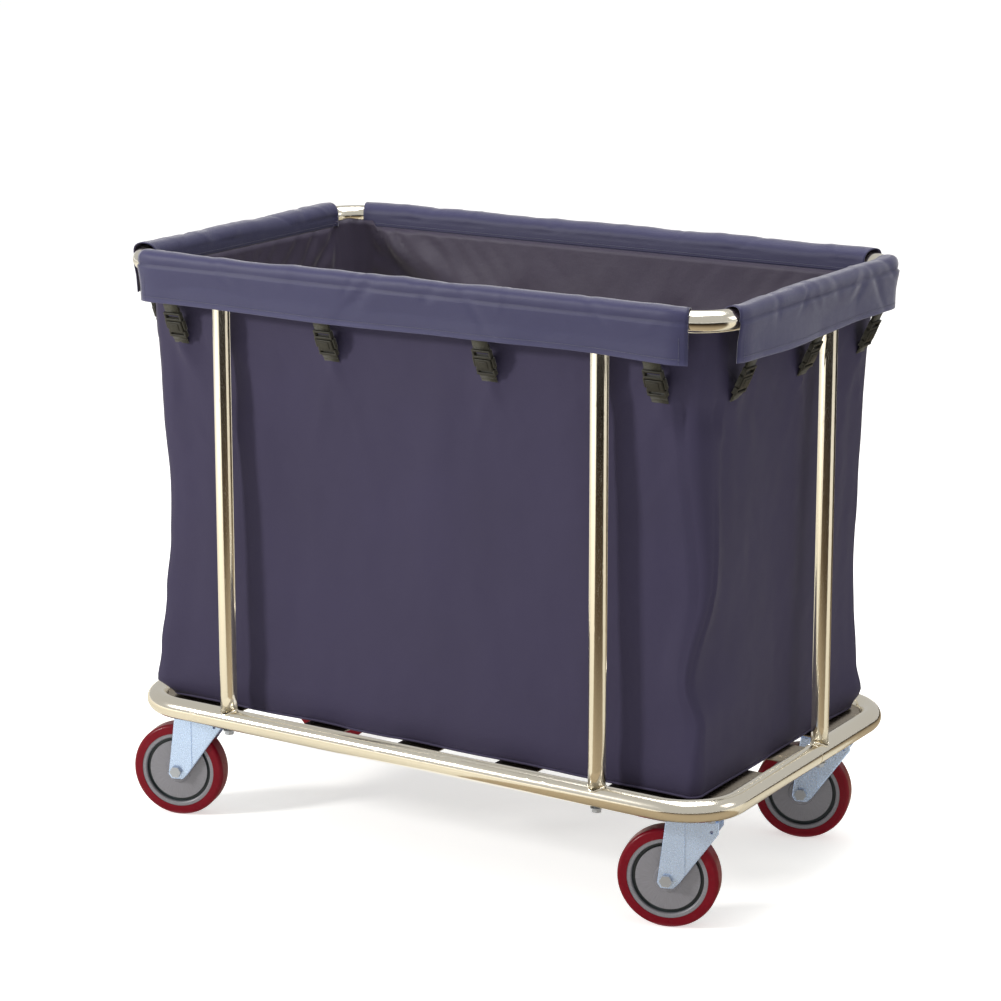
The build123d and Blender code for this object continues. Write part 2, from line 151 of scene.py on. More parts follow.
class Finish:
    """A material under construction, with one Principled shader."""

    def __init__(self, name, colour, roughness=0.5, **fixed):
        self.material = bpy.data.materials.new(name)
        self.material.use_nodes = True
        self.tree = self.material.node_tree
        self.shader = self.tree.nodes["Principled BSDF"]
        self.shader.inputs["Base Color"].default_value = (*colour, 1)
        self.shader.inputs["Roughness"].default_value = roughness
        for socket, value in fixed.items():
            self.shader.inputs[socket.replace("_", " ")].default_value = value

    def node(self, kind, settings, *values, out=0, **named):
        """A node of this kind: its settings first, then its inputs in order or by name."""
        made = self.tree.nodes.new(kind)
        for key, value in settings.items():
            if key == "stops":
                ramp = made.color_ramp
                while len(ramp.elements) < len(value):
                    ramp.elements.new(0.5)
                for element, (place, colour) in zip(ramp.elements, value):
                    element.position = place
                    element.color = (*colour, 1)
            else:
                setattr(made, key, value)
        for key, value in [*enumerate(values), *((k.replace("_", " "), v) for k, v in named.items())]:
            if value is None:
                continue
            if isinstance(value, Value):
                self.tree.links.new(value.socket, made.inputs[key])
            else:
                made.inputs[key].default_value = value
        return Value(self, made.outputs[out])

    def feed(self, socket, value):
        self.tree.links.new(value.socket, self.shader.inputs[socket])

    def place(self):
        return self.node("ShaderNodeTexCoord", {}, out="Object")

    def surface(self):
        """The piece's own UV map, in metres of cloth."""
        return self.node("ShaderNodeUVMap", {"uv_map": "UVMap"})

    def split(self, vector, axis):
        return self.node("ShaderNodeSeparateXYZ", {}, vector, out=axis)

    def cloud(self, vector, scale, detail=3.0, roughness=0.55):
        return self.node("ShaderNodeTexNoise", {}, None, None, Vector=vector, Scale=scale, Detail=detail,
                         Roughness=roughness)

    def stretched(self, vector, scale):
        return self.node("ShaderNodeMapping", {}, vector, Scale=scale)

    def blend(self, share, first, second):
        """A colour between two, by share."""
        made = self.tree.nodes.new("ShaderNodeMix")
        made.data_type = "RGBA"
        self.tree.links.new(share.socket, made.inputs["Factor"])
        for key, colour in (("A", first), ("B", second)):
            socket = next(s for s in made.inputs if s.name == key and s.type == "RGBA")
            if isinstance(colour, Value):
                self.tree.links.new(colour.socket, socket)
            else:
                socket.default_value = (*colour, 1)
        return Value(self, next(s for s in made.outputs if s.type == "RGBA"))

    def attribute(self, name):
        return self.node("ShaderNodeAttribute", {"attribute_name": name}, out="Fac")

    def relief(self, height, distance, strength=1.0):
        made = self.node("ShaderNodeBump", {}, strength, distance, Height=height)
        self.feed("Normal", made)


def darker(colour, share):
    return tuple(channel * share for channel in colour)


def polished_tube(name="polished_tube", colour=(0.88, 0.83, 0.72), roughness=0.13):
    finish = Finish(name, colour, roughness, Metallic=1.0)
    place = finish.place()
    smear = finish.cloud(place, 9.0, 4.0)
    grain = finish.cloud(finish.stretched(place, (180, 180, 180)), 4.0, 2.0)
    scratch = finish.cloud(finish.stretched(place, (60, 900, 60)), 1.0, 2.0).above(0.68, 0.03)
    finish.feed("Base Color", finish.blend(smear, darker(colour, 0.92), colour))
    finish.feed("Roughness", roughness * 0.7 + smear * roughness * 0.6 + scratch * 0.10 + grain * 0.02)
    finish.relief(grain * 0.6 + scratch * 0.4, 0.00004)
    return finish.material


def deck_steel():
    # The dark tan colour is painted reflection: it stands for the warm floor and the dark bag that the
    # polished strips mirror
    colour = (0.30, 0.25, 0.19)
    finish = Finish("deck_steel", colour, 0.26, Metallic=1.0)
    place = finish.place()
    brushed = finish.cloud(finish.stretched(place, (12, 700, 700)), 1.0, 3.0)
    handled = finish.cloud(place, 14.0, 4.0)
    finish.feed("Base Color", finish.blend(handled, darker(colour, 0.80), colour))
    finish.feed("Roughness", 0.16 + brushed * 0.14 + handled * 0.10)
    finish.relief(brushed, 0.00006)
    return finish.material


def zinc_plate(name="zinc_plate", colour=(0.58, 0.73, 1.0), roughness=0.24, metal=0.65):
    finish = Finish(name, colour, roughness, Metallic=metal)
    place = finish.place()
    spangle = finish.node("ShaderNodeTexVoronoi", {}, None, None, Vector=place, Scale=260.0)
    haze = finish.cloud(place, 30.0, 4.0)
    tint = finish.blend(haze, darker(colour, 0.82), colour)
    finish.feed("Base Color", tint)
    finish.feed("Roughness", roughness * 0.75 + haze * roughness * 0.4 + spangle * 0.08)
    finish.relief(haze, 0.000006)
    return finish.material


def tyre_red():
    colour = (0.150, 0.0006, 0.008)
    finish = Finish("tyre_red", colour, 0.30, Coat_Weight=0.06, Coat_Roughness=0.12, Specular_IOR_Level=0.14)
    place = finish.place()
    cast = finish.cloud(place, 45.0, 3.0)
    dust = finish.cloud(place, 160.0, 4.0).above(0.62, 0.08)
    moulded = finish.blend(cast, darker(colour, 0.75), colour)
    finish.feed("Base Color", finish.blend(dust * 0.10, moulded, (0.17, 0.02, 0.03)))
    finish.feed("Roughness", 0.24 + cast * 0.12 + dust * 0.2)
    finish.relief(cast, 0.0001)
    return finish.material


def rim_plastic(place_name, hub):
    """Grey moulded disc with fine marks that run out from the hub."""
    colour = (0.165, 0.162, 0.178)
    finish = Finish(f"rim_{place_name}", colour, 0.42)
    turned = finish.node(
        "ShaderNodeMapping", {"vector_type": "TEXTURE"}, finish.place(), tuple(hub),
        (math.pi / 2, 0, caster_turn),
    )
    x, y = finish.split(turned, "X"), finish.split(turned, "Y")
    radius = (x * x + y * y).power(0.5)
    angle = y.maths("ARCTAN2", x)
    rays = finish.cloud(finish.node("ShaderNodeCombineXYZ", {}, angle, radius * 3.0, 0.0), 26.0, 4.0)
    groove_inner, groove_outer, edge = 0.0463, 0.0512, 0.0003
    groove = radius.above(groove_inner, edge) * (1 - radius.above(groove_outer, edge))
    flat = finish.blend(rays, darker(colour, 0.78), darker(colour, 1.25))
    finish.feed("Base Color", finish.blend(groove, flat, (0.022, 0.032, 0.036)))
    finish.feed("Roughness", 0.34 + rays * 0.16 + groove * 0.1)
    finish.relief(rays * (1 - groove), 0.0002)
    return finish.material


def weave_height(across, along):
    """A plain basket weave, whose threads pass over and under in turn."""
    warp = (across * (2 * math.pi / weave_pitch)).sine()
    weft = (along * (2 * math.pi / weave_pitch)).sine()
    return warp * weft * 0.5 + 0.5


def oxford_cloth(name, colour, sheen=0.35, roughness=0.62):
    finish = Finish(
        name, colour, roughness, Sheen_Weight=sheen, Sheen_Roughness=0.35, Specular_IOR_Level=0.28
    )
    cloth = finish.surface()
    across, along = finish.split(cloth, "X"), finish.split(cloth, "Y")
    weave = weave_height(across, along)
    slub = finish.cloud(finish.stretched(cloth, (90, 900, 1)), 1.0, 2.0)
    mottle = finish.cloud(cloth, 5.0, 4.0)
    crease = finish.cloud(cloth, 26.0, 5.0, 0.6)
    rubbed = finish.attribute("rubbed")
    worn = finish.blend(mottle * 0.6 + weave * 0.25, darker(colour, 0.80), darker(colour, 1.22))
    light = tuple(min(1.0, channel * 1.6 + 0.01) for channel in colour)
    # Lighter colour by the point attribute: wear at the hems and the wall's foot, and a painted highlight
    # along the top of the flaps' fold
    finish.feed("Base Color", finish.blend(rubbed * (0.35 + slub * 0.5), worn, light))
    finish.feed("Roughness", roughness - 0.08 + mottle * 0.12 + weave * 0.06)
    finish.relief(weave * 0.10 + slub * 0.10 + crease, 0.0016, 0.55)
    return finish.material


def coated_lining():
    """The bag's inside: the same weave under a smooth, darker coat."""
    colour = (0.040, 0.031, 0.058)
    finish = Finish(
        "coated_lining", colour, 0.55, Sheen_Weight=0.08, Sheen_Roughness=0.4, Specular_IOR_Level=0.35
    )
    cloth = finish.surface()
    across, along = finish.split(cloth, "X"), finish.split(cloth, "Y")
    weave = weave_height(across, along)
    mottle = finish.cloud(cloth, 7.0, 4.0)
    crease = finish.cloud(cloth, 30.0, 5.0, 0.6)
    worn = finish.blend(mottle * 0.8 + weave * 0.15, darker(colour, 0.78), darker(colour, 1.25))
    finish.feed("Base Color", worn)
    finish.feed("Roughness", 0.46 + mottle * 0.16)
    finish.relief(weave * 0.06 + crease, 0.0018, 0.55)
    return finish.material


def strap_webbing():
    colour = (0.024, 0.022, 0.011)
    finish = Finish("strap_webbing", colour, 0.8, Sheen_Weight=0.10)
    tape = finish.surface()
    across, along = finish.split(tape, "X"), finish.split(tape, "Y")
    herringbone = ((across + along * 0.5) * (2 * math.pi / 0.0026)).sine()
    ribs = (across * (2 * math.pi / 0.0052)).sine().size()
    fuzz = finish.cloud(tape, 300.0, 3.0)
    finish.feed("Base Color", finish.blend(herringbone * 0.3 + 0.5, darker(colour, 0.6), darker(colour, 1.5)))
    finish.feed("Roughness", 0.62 + fuzz * 0.2)
    finish.relief(herringbone * 0.4 + ribs * 0.6 + fuzz * 0.3, 0.0004)
    return finish.material


def buckle_plastic():
    colour = (0.013, 0.012, 0.008)
    finish = Finish("buckle_plastic", colour, 0.50, Specular_IOR_Level=0.35)
    place = finish.place()
    grain = finish.cloud(place, 1400.0, 2.0)
    scuff = finish.cloud(place, 90.0, 4.0)
    finish.feed("Base Color", finish.blend(scuff, darker(colour, 0.7), darker(colour, 1.8)))
    finish.feed("Roughness", 0.34 + grain * 0.14 + scuff * 0.1)
    finish.relief(grain, 0.00012)
    return finish.material


def sewing_thread():
    colour = (0.060, 0.062, 0.120)
    finish = Finish("sewing_thread", colour, 0.6, Sheen_Weight=0.3)
    place = finish.place()
    twist = ((finish.split(place, "X") + finish.split(place, "Y") + finish.split(place, "Z")) * 9000.0).sine()
    finish.feed("Base Color", finish.blend(twist * 0.5 + 0.5, darker(colour, 0.7), darker(colour, 1.3)))
    finish.relief(twist, 0.0001)
    return finish.material


def studio_floor():
    finish = Finish("studio_floor", (0.80, 0.80, 0.80), 0.9, Emission_Strength=0.56)
    finish.shader.inputs["Emission Color"].default_value = (1, 1, 0.995, 1)
    patch = finish.cloud(finish.place(), 0.7, 2.0)
    finish.feed("Base Color", finish.blend(patch, (0.795, 0.795, 0.790), (0.805, 0.805, 0.800)))
    return finish.material


TUBE = polished_tube()
DECK = deck_steel()
ZINC = zinc_plate()
BOLT = zinc_plate("bolt_zinc", (0.44, 0.47, 0.52), 0.30)
BEARING = zinc_plate("bearing_steel", (0.55, 0.55, 0.56), 0.22, 1.0)
TYRE = tyre_red()
BAG = oxford_cloth("bag_cloth", (0.029, 0.0235, 0.056), sheen=0.05, roughness=0.72)
FLAP = oxford_cloth("flap_cloth", (0.031, 0.030, 0.078), sheen=0.48, roughness=0.46)
LINING = coated_lining()
WEBBING = strap_webbing()
BUCKLE = buckle_plastic()
THREAD = sewing_thread()


# --- Meshes ---------------------------------------------------------------------------------------


def new_piece(name, points, faces, *materials, uv=None):
    """A smooth mesh piece. uv holds one pair for each corner of each face."""
    mesh = bpy.data.meshes.new(name)
    mesh.from_pydata([tuple(p) for p in points], [], faces)
    mesh.update()
    mesh.polygons.foreach_set("use_smooth", [True] * len(mesh.polygons))
    for finish in materials:
        mesh.materials.append(finish)
    if uv is not None:
        layer = mesh.uv_layers.new(name="UVMap")
        layer.data.foreach_set("uv", np.array(uv, np.float32).ravel())
    piece = bpy.data.objects.new(name, mesh)
    bpy.context.scene.collection.objects.link(piece)
    return piece


def sheet_piece(name, rows, width_marks, height_marks, *materials, closed=False):
    """Cloth from rows of points. The marks say how far along the cloth each column and row lies."""
    columns = len(rows[0])
    points = [p for row in rows for p in row]
    faces, uv = [], []
    for j in range(len(rows) - 1):
        for i in range(columns if closed else columns - 1):
            n = (i + 1) % columns
            faces.append((j * columns + i, (j + 1) * columns + i, (j + 1) * columns + n, j * columns + n))
            u, u_next = width_marks[i], width_marks[i + 1]
            v, v_next = height_marks[j], height_marks[j + 1]
            uv += [(u, v), (u, v_next), (u_next, v_next), (u_next, v)]
    return new_piece(name, points, faces, *materials, uv=uv)


def evaluated_mesh(piece):
    """The piece's shape with its modifiers, as a new mesh."""
    bpy.context.view_layer.update()
    graph = bpy.context.evaluated_depsgraph_get()
    return bpy.data.meshes.new_from_object(
        piece.evaluated_get(graph), preserve_all_data_layers=True, depsgraph=graph
    )


def apply_modifiers(piece):
    """Turns the piece with its modifiers into a plain mesh."""
    piece.data = evaluated_mesh(piece)
    piece.modifiers.clear()
    return piece


def thicken(piece, thickness, inside_offset=0, outward=0.0):
    """Gives a sheet its thickness. inside_offset picks the material of the far side."""
    solid = piece.modifiers.new("thickness", "SOLIDIFY")
    solid.thickness = thickness
    solid.offset = outward
    solid.material_offset = inside_offset
    return apply_modifiers(piece)


def dressed(node, name, material, sharp=28.0, bevel=0.0):
    """A smooth copy of a CAD node: merged, with soft edges, standing for the node."""
    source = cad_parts[node]
    mesh = source.data.copy()
    mesh.materials.clear()
    mesh.materials.append(material)
    shape = bmesh.new()
    shape.from_mesh(mesh)
    bmesh.ops.remove_doubles(shape, verts=shape.verts, dist=0.00001)
    bmesh.ops.dissolve_limit(shape, angle_limit=math.radians(0.4), verts=shape.verts, edges=shape.edges)
    for face in shape.faces:
        face.smooth = True
        face.material_index = 0
    for edge in shape.edges:
        edge.smooth = len(edge.link_faces) == 2 and edge.calc_face_angle(0) < math.radians(sharp)
    shape.to_mesh(mesh)
    shape.free()
    piece = bpy.data.objects.new(name, mesh)
    bpy.context.scene.collection.objects.link(piece)
    if bevel:
        soft = piece.modifiers.new("soft_edges", "BEVEL")
        soft.width = bevel
        soft.segments = 2
        soft.limit_method = "ANGLE"
        soft.angle_limit = math.radians(sharp)
        soft.harden_normals = True
        apply_modifiers(piece)
    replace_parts(piece, node)
    return piece


def loop_path(bend, straight_step=0.03, bend_steps=18):
    """Points and outward directions along the frame's plan, anticlockwise from the front left bend's end."""
    path = []
    centres = [
        (half_length - bend, -half_width + bend, -90),
        (half_length - bend, half_width - bend, 0),
        (-half_length + bend, half_width - bend, 90),
        (-half_length + bend, -half_width + bend, 180),
    ]
    for k, (x, y, start) in enumerate(centres):
        for i in range(bend_steps + 1):
            angle = math.radians(start + 90 * i / bend_steps)
            outward = Vector((math.cos(angle), math.sin(angle), 0))
            path.append((Vector((x, y, 0)) + outward * bend, outward))
        x_next, y_next, start_next = centres[(k + 1) % 4]
        facing = math.radians(start_next)
        outward = Vector((round(math.cos(facing)), round(math.sin(facing)), 0))
        here = path[-1][0]
        there = Vector((x_next, y_next, 0)) + outward * bend
        steps = max(2, round((there - here).length / straight_step))
        for i in range(1, steps):
            path.append((here.lerp(there, i / steps), outward))
    return path


def tube_loop(name, radius, bend, height, material, around=40):
    """A closed loop of bent tube."""
    path = loop_path(bend)
    points, faces = [], []
    for centre, outward in path:
        for k in range(around):
            angle = 2 * math.pi * k / around
            level = height + radius * math.sin(angle)
            points.append(centre + UP * level + outward * radius * math.cos(angle))
    count = len(path)
    for i in range(count):
        for k in range(around):
            n, m = (i + 1) % count, (k + 1) % around
            faces.append((i * around + k, n * around + k, n * around + m, i * around + m))
    return new_piece(name, points, faces, material)


def saddle(x, y, radius, rail_radius, rail_z, side, angle, gap=0.0):
    """A point on an upright's outline where it meets a rail; side is 1 above the rail, -1 below it."""
    dx, dy = radius * math.cos(angle), radius * math.sin(angle)
    off = dy if abs(abs(y) - half_width) < 0.001 else dx
    rise = math.sqrt(max(0.0, (rail_radius + gap) ** 2 - off * off))
    return Vector((x + dx, y + dy, rail_z + side * rise))


def upright_tube(name, x, y, radius, material, around=40):
    """A tube with its wall, cut to both rails' round surfaces."""
    inner = radius - upright_wall
    points, faces = [], []
    levels = 24
    for tube_radius in (radius, inner):
        for j in range(levels + 1):
            for k in range(around):
                angle = 2 * math.pi * k / around
                foot = saddle(x, y, tube_radius, base_radius, base_z, 1, angle, -upright_sink)
                head = saddle(x, y, tube_radius, top_radius, top_z, -1, angle, -upright_sink)
                points.append(foot.lerp(head, j / levels))
    layer = (levels + 1) * around
    for j in range(levels):
        for k in range(around):
            m = (k + 1) % around
            a, b, c, d = j * around + k, j * around + m, (j + 1) * around + m, (j + 1) * around + k
            faces.append((a, b, c, d))
            faces.append((layer + a, layer + d, layer + c, layer + b))
    for k in range(around):
        m = (k + 1) % around
        faces.append((k, layer + k, layer + m, m))
        top = levels * around
        faces.append((top + k, top + m, layer + top + m, layer + top + k))
    return new_piece(name, points, faces, material)


def ring_along(name, loops, radius, material, around=10):
    """Closed round beads along closed lines of points."""
    points, faces = [], []
    for loop in loops:
        first = len(points)
        count = len(loop)
        centre = sum(loop, Vector()) / count
        for i, here in enumerate(loop):
            tangent = (loop[(i + 1) % count] - loop[i - 1]).normalized()
            out = here - centre
            out = (out - tangent * out.dot(tangent)).normalized()
            side = tangent.cross(out)
            for k in range(around):
                angle = 2 * math.pi * k / around
                points.append(here + (out * math.cos(angle) + side * math.sin(angle)) * radius)
        for i in range(count):
            ring, next_ring = first + i * around, first + (i + 1) % count * around
            for k in range(around):
                m = (k + 1) % around
                faces.append((ring + k, next_ring + k, next_ring + m, ring + m))
    piece = new_piece(name, points, faces, material)
    fix_normals(piece)
    return piece


def fix_normals(piece):
    shape = bmesh.new()
    shape.from_mesh(piece.data)
    bmesh.ops.recalc_face_normals(shape, faces=shape.faces)
    shape.to_mesh(piece.data)
    shape.free()


# --- Frame ----------------------------------------------------------------------------------------

UPRIGHTS = {}
for place in (*CORNERS, "left_end", "right_end"):
    low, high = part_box(f"upright_{place}")
    UPRIGHTS[place] = ((low.x + high.x) / 2, (low.y + high.y) / 2, (high.x - low.x) / 2)

base_tube = tube_loop("base_rail_tube", base_radius, base_bend, base_z, TUBE)
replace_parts(base_tube, "base_rail")
top_tube = tube_loop("top_rail_tube", top_radius, top_bend, top_z, TUBE)
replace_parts(top_tube, "top_rail")
for piece in (base_tube, top_tube):
    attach(piece, "frame")
round_turn = [2 * math.pi * k / 48 for k in range(48)]
weld_lines = []
for place, (x, y, radius) in UPRIGHTS.items():
    tube = upright_tube(f"upright_{place}_tube", x, y, radius, TUBE)
    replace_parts(tube, f"upright_{place}")
    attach(tube, "frame")
    for rail_radius, rail_z, side in ((base_radius, base_z, 1), (top_radius, top_z, -1)):
        weld_lines.append(
            [saddle(x, y, radius + weld_stand, rail_radius, rail_z, side, a, weld_stand) for a in round_turn]
        )
welds = ring_along("weld_beads", weld_lines, weld_radius, TUBE)
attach(welds, "frame")

joint_line = [
    Vector((half_length + base_radius * math.cos(a), joint_y, base_z + base_radius * math.sin(a)))
    for a in round_turn
]
rail_joint = ring_along("rail_joint", [joint_line], 0.0005, TUBE)
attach(rail_joint, "frame")

for node, finish, bevel, slot in (
    ("deck_strip_left", DECK, 0.0004, "deck_steel"),
    ("deck_strip_middle", DECK, 0.0004, "deck_steel"),
    ("deck_strip_right", DECK, 0.0004, "deck_steel"),
    ("deck_strip_long", DECK, 0.0004, "deck_steel"),
    ("corner_plates", DECK, 0.0004, "deck_steel"),
    ("caster_pads", ZINC, 0.0006, "zinc_steel"),
    ("caster_bolts", BOLT, 0.0, "fasteners"),
    ("upright_bolts", BOLT, 0.0, "fasteners"),
    ("upright_washers", BOLT, 0.0, "fasteners"),
    ("upright_plugs", BOLT, 0.0, "fasteners"),
    ("caster_kingpins", BOLT, 0.0, "fasteners"),
    ("caster_balls", BEARING, 0.0, "bearing_steel"),
):
    piece = dressed(node, f"{node}_steel", finish, bevel=bevel)
    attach(piece, "frame")

# --- Casters --------------------------------------------------------------------------------------

for place in CORNERS:
    low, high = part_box(f"caster_{place}_tyre")
    hub = (low + high) / 2
    rim_finish = rim_plastic(place, hub)
    for part, body, finish, bevel, slot in (
        ("plate", "frame", ZINC, 0.0006, "zinc_steel"),
        ("fork", f"swivel_{place}", ZINC, 0.0006, "zinc_steel"),
        ("axle", f"swivel_{place}", BOLT, 0.0004, "fasteners"),
        ("tyre", f"wheel_{place}", TYRE, 0.0, "tyre_red"),
        ("rim", f"wheel_{place}", rim_finish, 0.0, "rim_plastic"),
        ("bearings", f"wheel_{place}", BEARING, 0.0, "bearing_steel"),
    ):
        piece = dressed(f"caster_{place}_{part}", f"caster_{place}_{part}_finished", finish, bevel=bevel)
        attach(piece, body)


# --- Bag ------------------------------------------------------------------------------------------

# Corners and sides of the bag, by number
FRONT_LEFT, BACK_LEFT, FRONT_RIGHT, BACK_RIGHT = range(4)
SIDE_OF = {"front": 0, "right": 2, "back": 4, "left": 6}

wall_thickness = 0.0013
floor_thickness = 0.0012
flap_thickness = 0.0014
tape_thickness = 0.0013
strap_width = 0.025

STRAPS = [(side, along) for side in ("front", "back") for along in (-0.400, -0.133, 0.133, 0.400)]
STRAPS += [(side, along) for side in ("left", "right") for along in (-0.200, 0.0, 0.190)]


def smooth(value):
    value = min(1.0, max(0.0, value))
    return value * value * (3 - 2 * value)


def hump(distance, width):
    """1 where the distance is 0, and softly down to 0 past the width."""
    return math.exp(-((distance / width) ** 2))


def soft_noise(x, y, seed):
    return noise.noise(Vector((x, y, seed)))


def even_plan(long_half, wide_half, bend, spots):
    """Points and outward directions of a rounded rectangle at the shared column spots: each wall keeps its own
    share of columns, so that columns run straight down the bag."""
    straight_x, straight_y = long_half - bend, wide_half - bend
    out = []
    for side, share in spots:
        if side == 0:
            out.append((Vector((straight_x * share, -wide_half, 0)), Vector((0, -1, 0))))
        elif side == 2:
            out.append((Vector((long_half, straight_y * share, 0)), Vector((1, 0, 0))))
        elif side == 4:
            out.append((Vector((-straight_x * share, wide_half, 0)), Vector((0, 1, 0))))
        elif side == 6:
            out.append((Vector((-long_half, -straight_y * share, 0)), Vector((-1, 0, 0))))
        else:
            start = {1: -90, 3: 0, 5: 90, 7: 180}[side]
            way_x, way_y = {1: (1, -1), 3: (1, 1), 5: (-1, 1), 7: (-1, -1)}[side]
            angle = math.radians(start + 90 * share)
            outward = Vector((math.cos(angle), math.sin(angle), 0))
            middle = Vector((way_x * straight_x, way_y * straight_y, 0))
            out.append((middle + outward * bend, outward))
    return out


def column_spots(long_count, wide_count, arc_count):
    """The bag's columns: the side each one stands on, odd for a corner, and its place there."""
    spots = []
    for k in range(4):
        count = long_count if k % 2 == 0 else wide_count
        spots += [(2 * k, -1 + 2 * i / count) for i in range(count)]
        spots += [(2 * k + 1, i / arc_count) for i in range(arc_count)]
    return spots


def wall_place(side, point):
    """How far the point is along its wall, and half of the wall's length."""
    return (point.x, bag_half_length) if side in (0, 4) else (point.y, bag_half_width)


def corner_of(point):
    """The number of the bag's corner nearest to the point."""
    return int(point.x > 0) * 2 + int(point.y > 0)


def wall_offset(side, point, z):
    """How far the cloth stands out from its flat panel at this place."""
    rise = (z - bag_foot_z) / (bag_mouth_z - bag_foot_z)
    along, half = wall_place(side, point)
    is_corner = side % 2 == 1
    from_corner = 0.0 if is_corner else max(0.0, half - 0.03 - abs(along))
    middle = math.sin(math.pi * min(1.0, max(0.0, rise)) ** 0.85)
    # The corners hang in between the mouth and the floor, each by its own amount
    corner = corner_of(point)
    depth = (0.008, 0.024, 0.008, 0.010)[corner]
    offset = -depth * hump(from_corner, 0.085) * middle
    # The walls belly in a little
    offset -= 0.005 * middle * (1 - hump(from_corner, 0.16))
    # Gathers beside the corners
    if not is_corner:
        jitter = 5 * soft_noise(z * 3, along, corner)
        wave = math.sin(from_corner * 2 * math.pi / 0.047 + 1.3 * corner + jitter)
        offset += 0.0014 * wave * math.exp(-from_corner / 0.075) * (0.25 + 0.75 * rise)
    # Broad drift of the cloth
    offset += 0.0050 * soft_noise(along * 3.1 + 7 * side, z * 2.2, 3.1) * middle
    offset += 0.0018 * soft_noise(along * 11 + 3 * side, z * 4.5, 9.7) * (0.4 + 0.6 * middle)
    # Long soft folds that run down the wall
    if not is_corner:
        for k in range(3):
            centre = half * (-0.55 + 0.5 * k + 0.12 * math.sin(3 * side + k))
            lean = 0.10 * math.sin(2.1 * side + 1.7 * k)
            place = along - centre - lean * (z - 0.5)
            offset += 0.0022 * hump(place, 0.030) * smooth(rise * 1.6) * smooth((1 - rise) * 4)
    # A short pinch just under the front right corner's mouth
    if corner == FRONT_RIGHT:
        offset -= 0.007 * hump(from_corner, 0.008) * hump(z - 0.735, 0.026)
    # Fine rumples all over
    offset += 0.0011 * soft_noise(along * 23 + side, z * 13, 5.5)
    offset += 0.0005 * soft_noise(along * 60 + side, z * 38, 2.5)
    # The foot of the bag stands out unevenly round its floor
    uneven = 0.5 + 0.5 * soft_noise(along * 6, side, 1.9)
    return offset + 0.006 * hump(z - bag_foot_z - 0.02, 0.035) * uneven


def strap_pull(side, along, z):
    """The straps draw the wall out where they are sewn on, with creases that run down from them."""
    pull = 0.0
    for name, spot in STRAPS:
        if SIDE_OF[name] != side:
            continue
        off = along - spot
        pull += 0.005 * hump(off, 0.030) * hump(z - strap_foot_z, 0.028)
        below = strap_foot_z - z
        if below > 0:
            for lean in (-0.32, 0.08, 0.36):
                crease = hump(off - lean * below, 0.006 + 0.05 * below)
                pull += 0.0016 * crease * math.exp(-below / 0.11)
    return pull


# How each corner's ridge wanders sideways: height above the foot as a share of the wall's, and metres along
# ridge_way
RIDGES = {
    FRONT_RIGHT: (
        (0.0, -0.004), (0.075, 0.000), (0.15, 0.006), (0.245, -0.019), (0.46, 0.016), (0.82, 0.0), (1.0, 0.0),
    ),
    FRONT_LEFT: (
        (0.0, -0.010), (0.027, -0.042), (0.107, -0.032), (0.245, -0.016), (0.38, -0.004), (0.51, 0.0),
        (0.65, -0.006), (0.86, -0.005), (1.0, 0.0),
    ),
    BACK_RIGHT: (
        (0.0, 0.006), (0.04, 0.023), (0.107, 0.014), (0.235, 0.008), (0.36, 0.004), (0.49, 0.006),
        (0.62, 0.006), (0.745, 0.004), (1.0, 0.0),
    ),
    BACK_LEFT: ((0.0, -0.006), (0.05, -0.014), (0.20, 0.004), (0.45, -0.010), (0.75, 0.004), (1.0, 0.0)),
}
ridge_way = Vector((0.845, 0.535, 0))


def ridge_shift(point, rise):
    """How far the cloth near a corner wanders along ridge_way at this height."""
    stops = RIDGES[corner_of(point)]
    shift = stops[-1][1]
    for (low, first), (high, second) in zip(stops, stops[1:]):
        if low <= rise <= high:
            shift = first + (second - first) * smooth((rise - low) / (high - low))
            break
    across = max(0.0, bag_half_length - abs(point.x)) + max(0.0, bag_half_width - abs(point.y))
    return ridge_way * (shift * hump(across, 0.075))


def mouth_gather(point, z):
    """Tight gathers where the mouth turns its corners, deepest at the back left."""
    corner = corner_of(point)
    strength = (0.6, 1.0, 0.5, 0.7)[corner]
    down = bag_mouth_z - z
    in_x, in_y = bag_half_length - abs(point.x), bag_half_width - abs(point.y)
    away = math.hypot(max(0.0, in_x), max(0.0, in_y))
    fan = math.atan2(in_y + 0.02, in_x + 0.02)
    ripple = math.sin(15 * fan + 2.4 * corner) + 0.5 * math.sin(27 * fan + corner)
    return strength * 0.0042 * ripple * math.exp(-away / 0.060) * math.exp(-down / 0.10) * smooth(down / 0.012)


def corner_folds(side, along, z, half):
    """Folds that fan down from the mouth's corners, deepest on the back wall."""
    down = bag_mouth_z - z
    folds = 0.0
    for end, size in ((-1, 1.0), (1, 0.6)):
        strength = size * {0: 0.45, 2: 0.35, 4: 1.0, 6: 0.8}[side]
        across = half - end * along
        reach = math.hypot(across, down)
        fade = smooth(reach / 0.05) * math.exp(-reach / 0.30)
        for k, steepness in enumerate((0.35, 0.62, 0.95, 1.4, 2.2)):
            gap = (down - steepness * across) / math.hypot(1, steepness)
            way = 1 if k % 2 else -0.7
            folds += strength * 0.0065 * way * hump(gap, 0.006 + 0.055 * reach) * fade
    return folds


# How deep the folds below run at each side's low and high end along X or Y
FOLD_SIZES = {0: (0.16, 0.20), 2: (0.25, 0.20), 4: (1.0, 0.22), 6: (0.3, 0.8)}


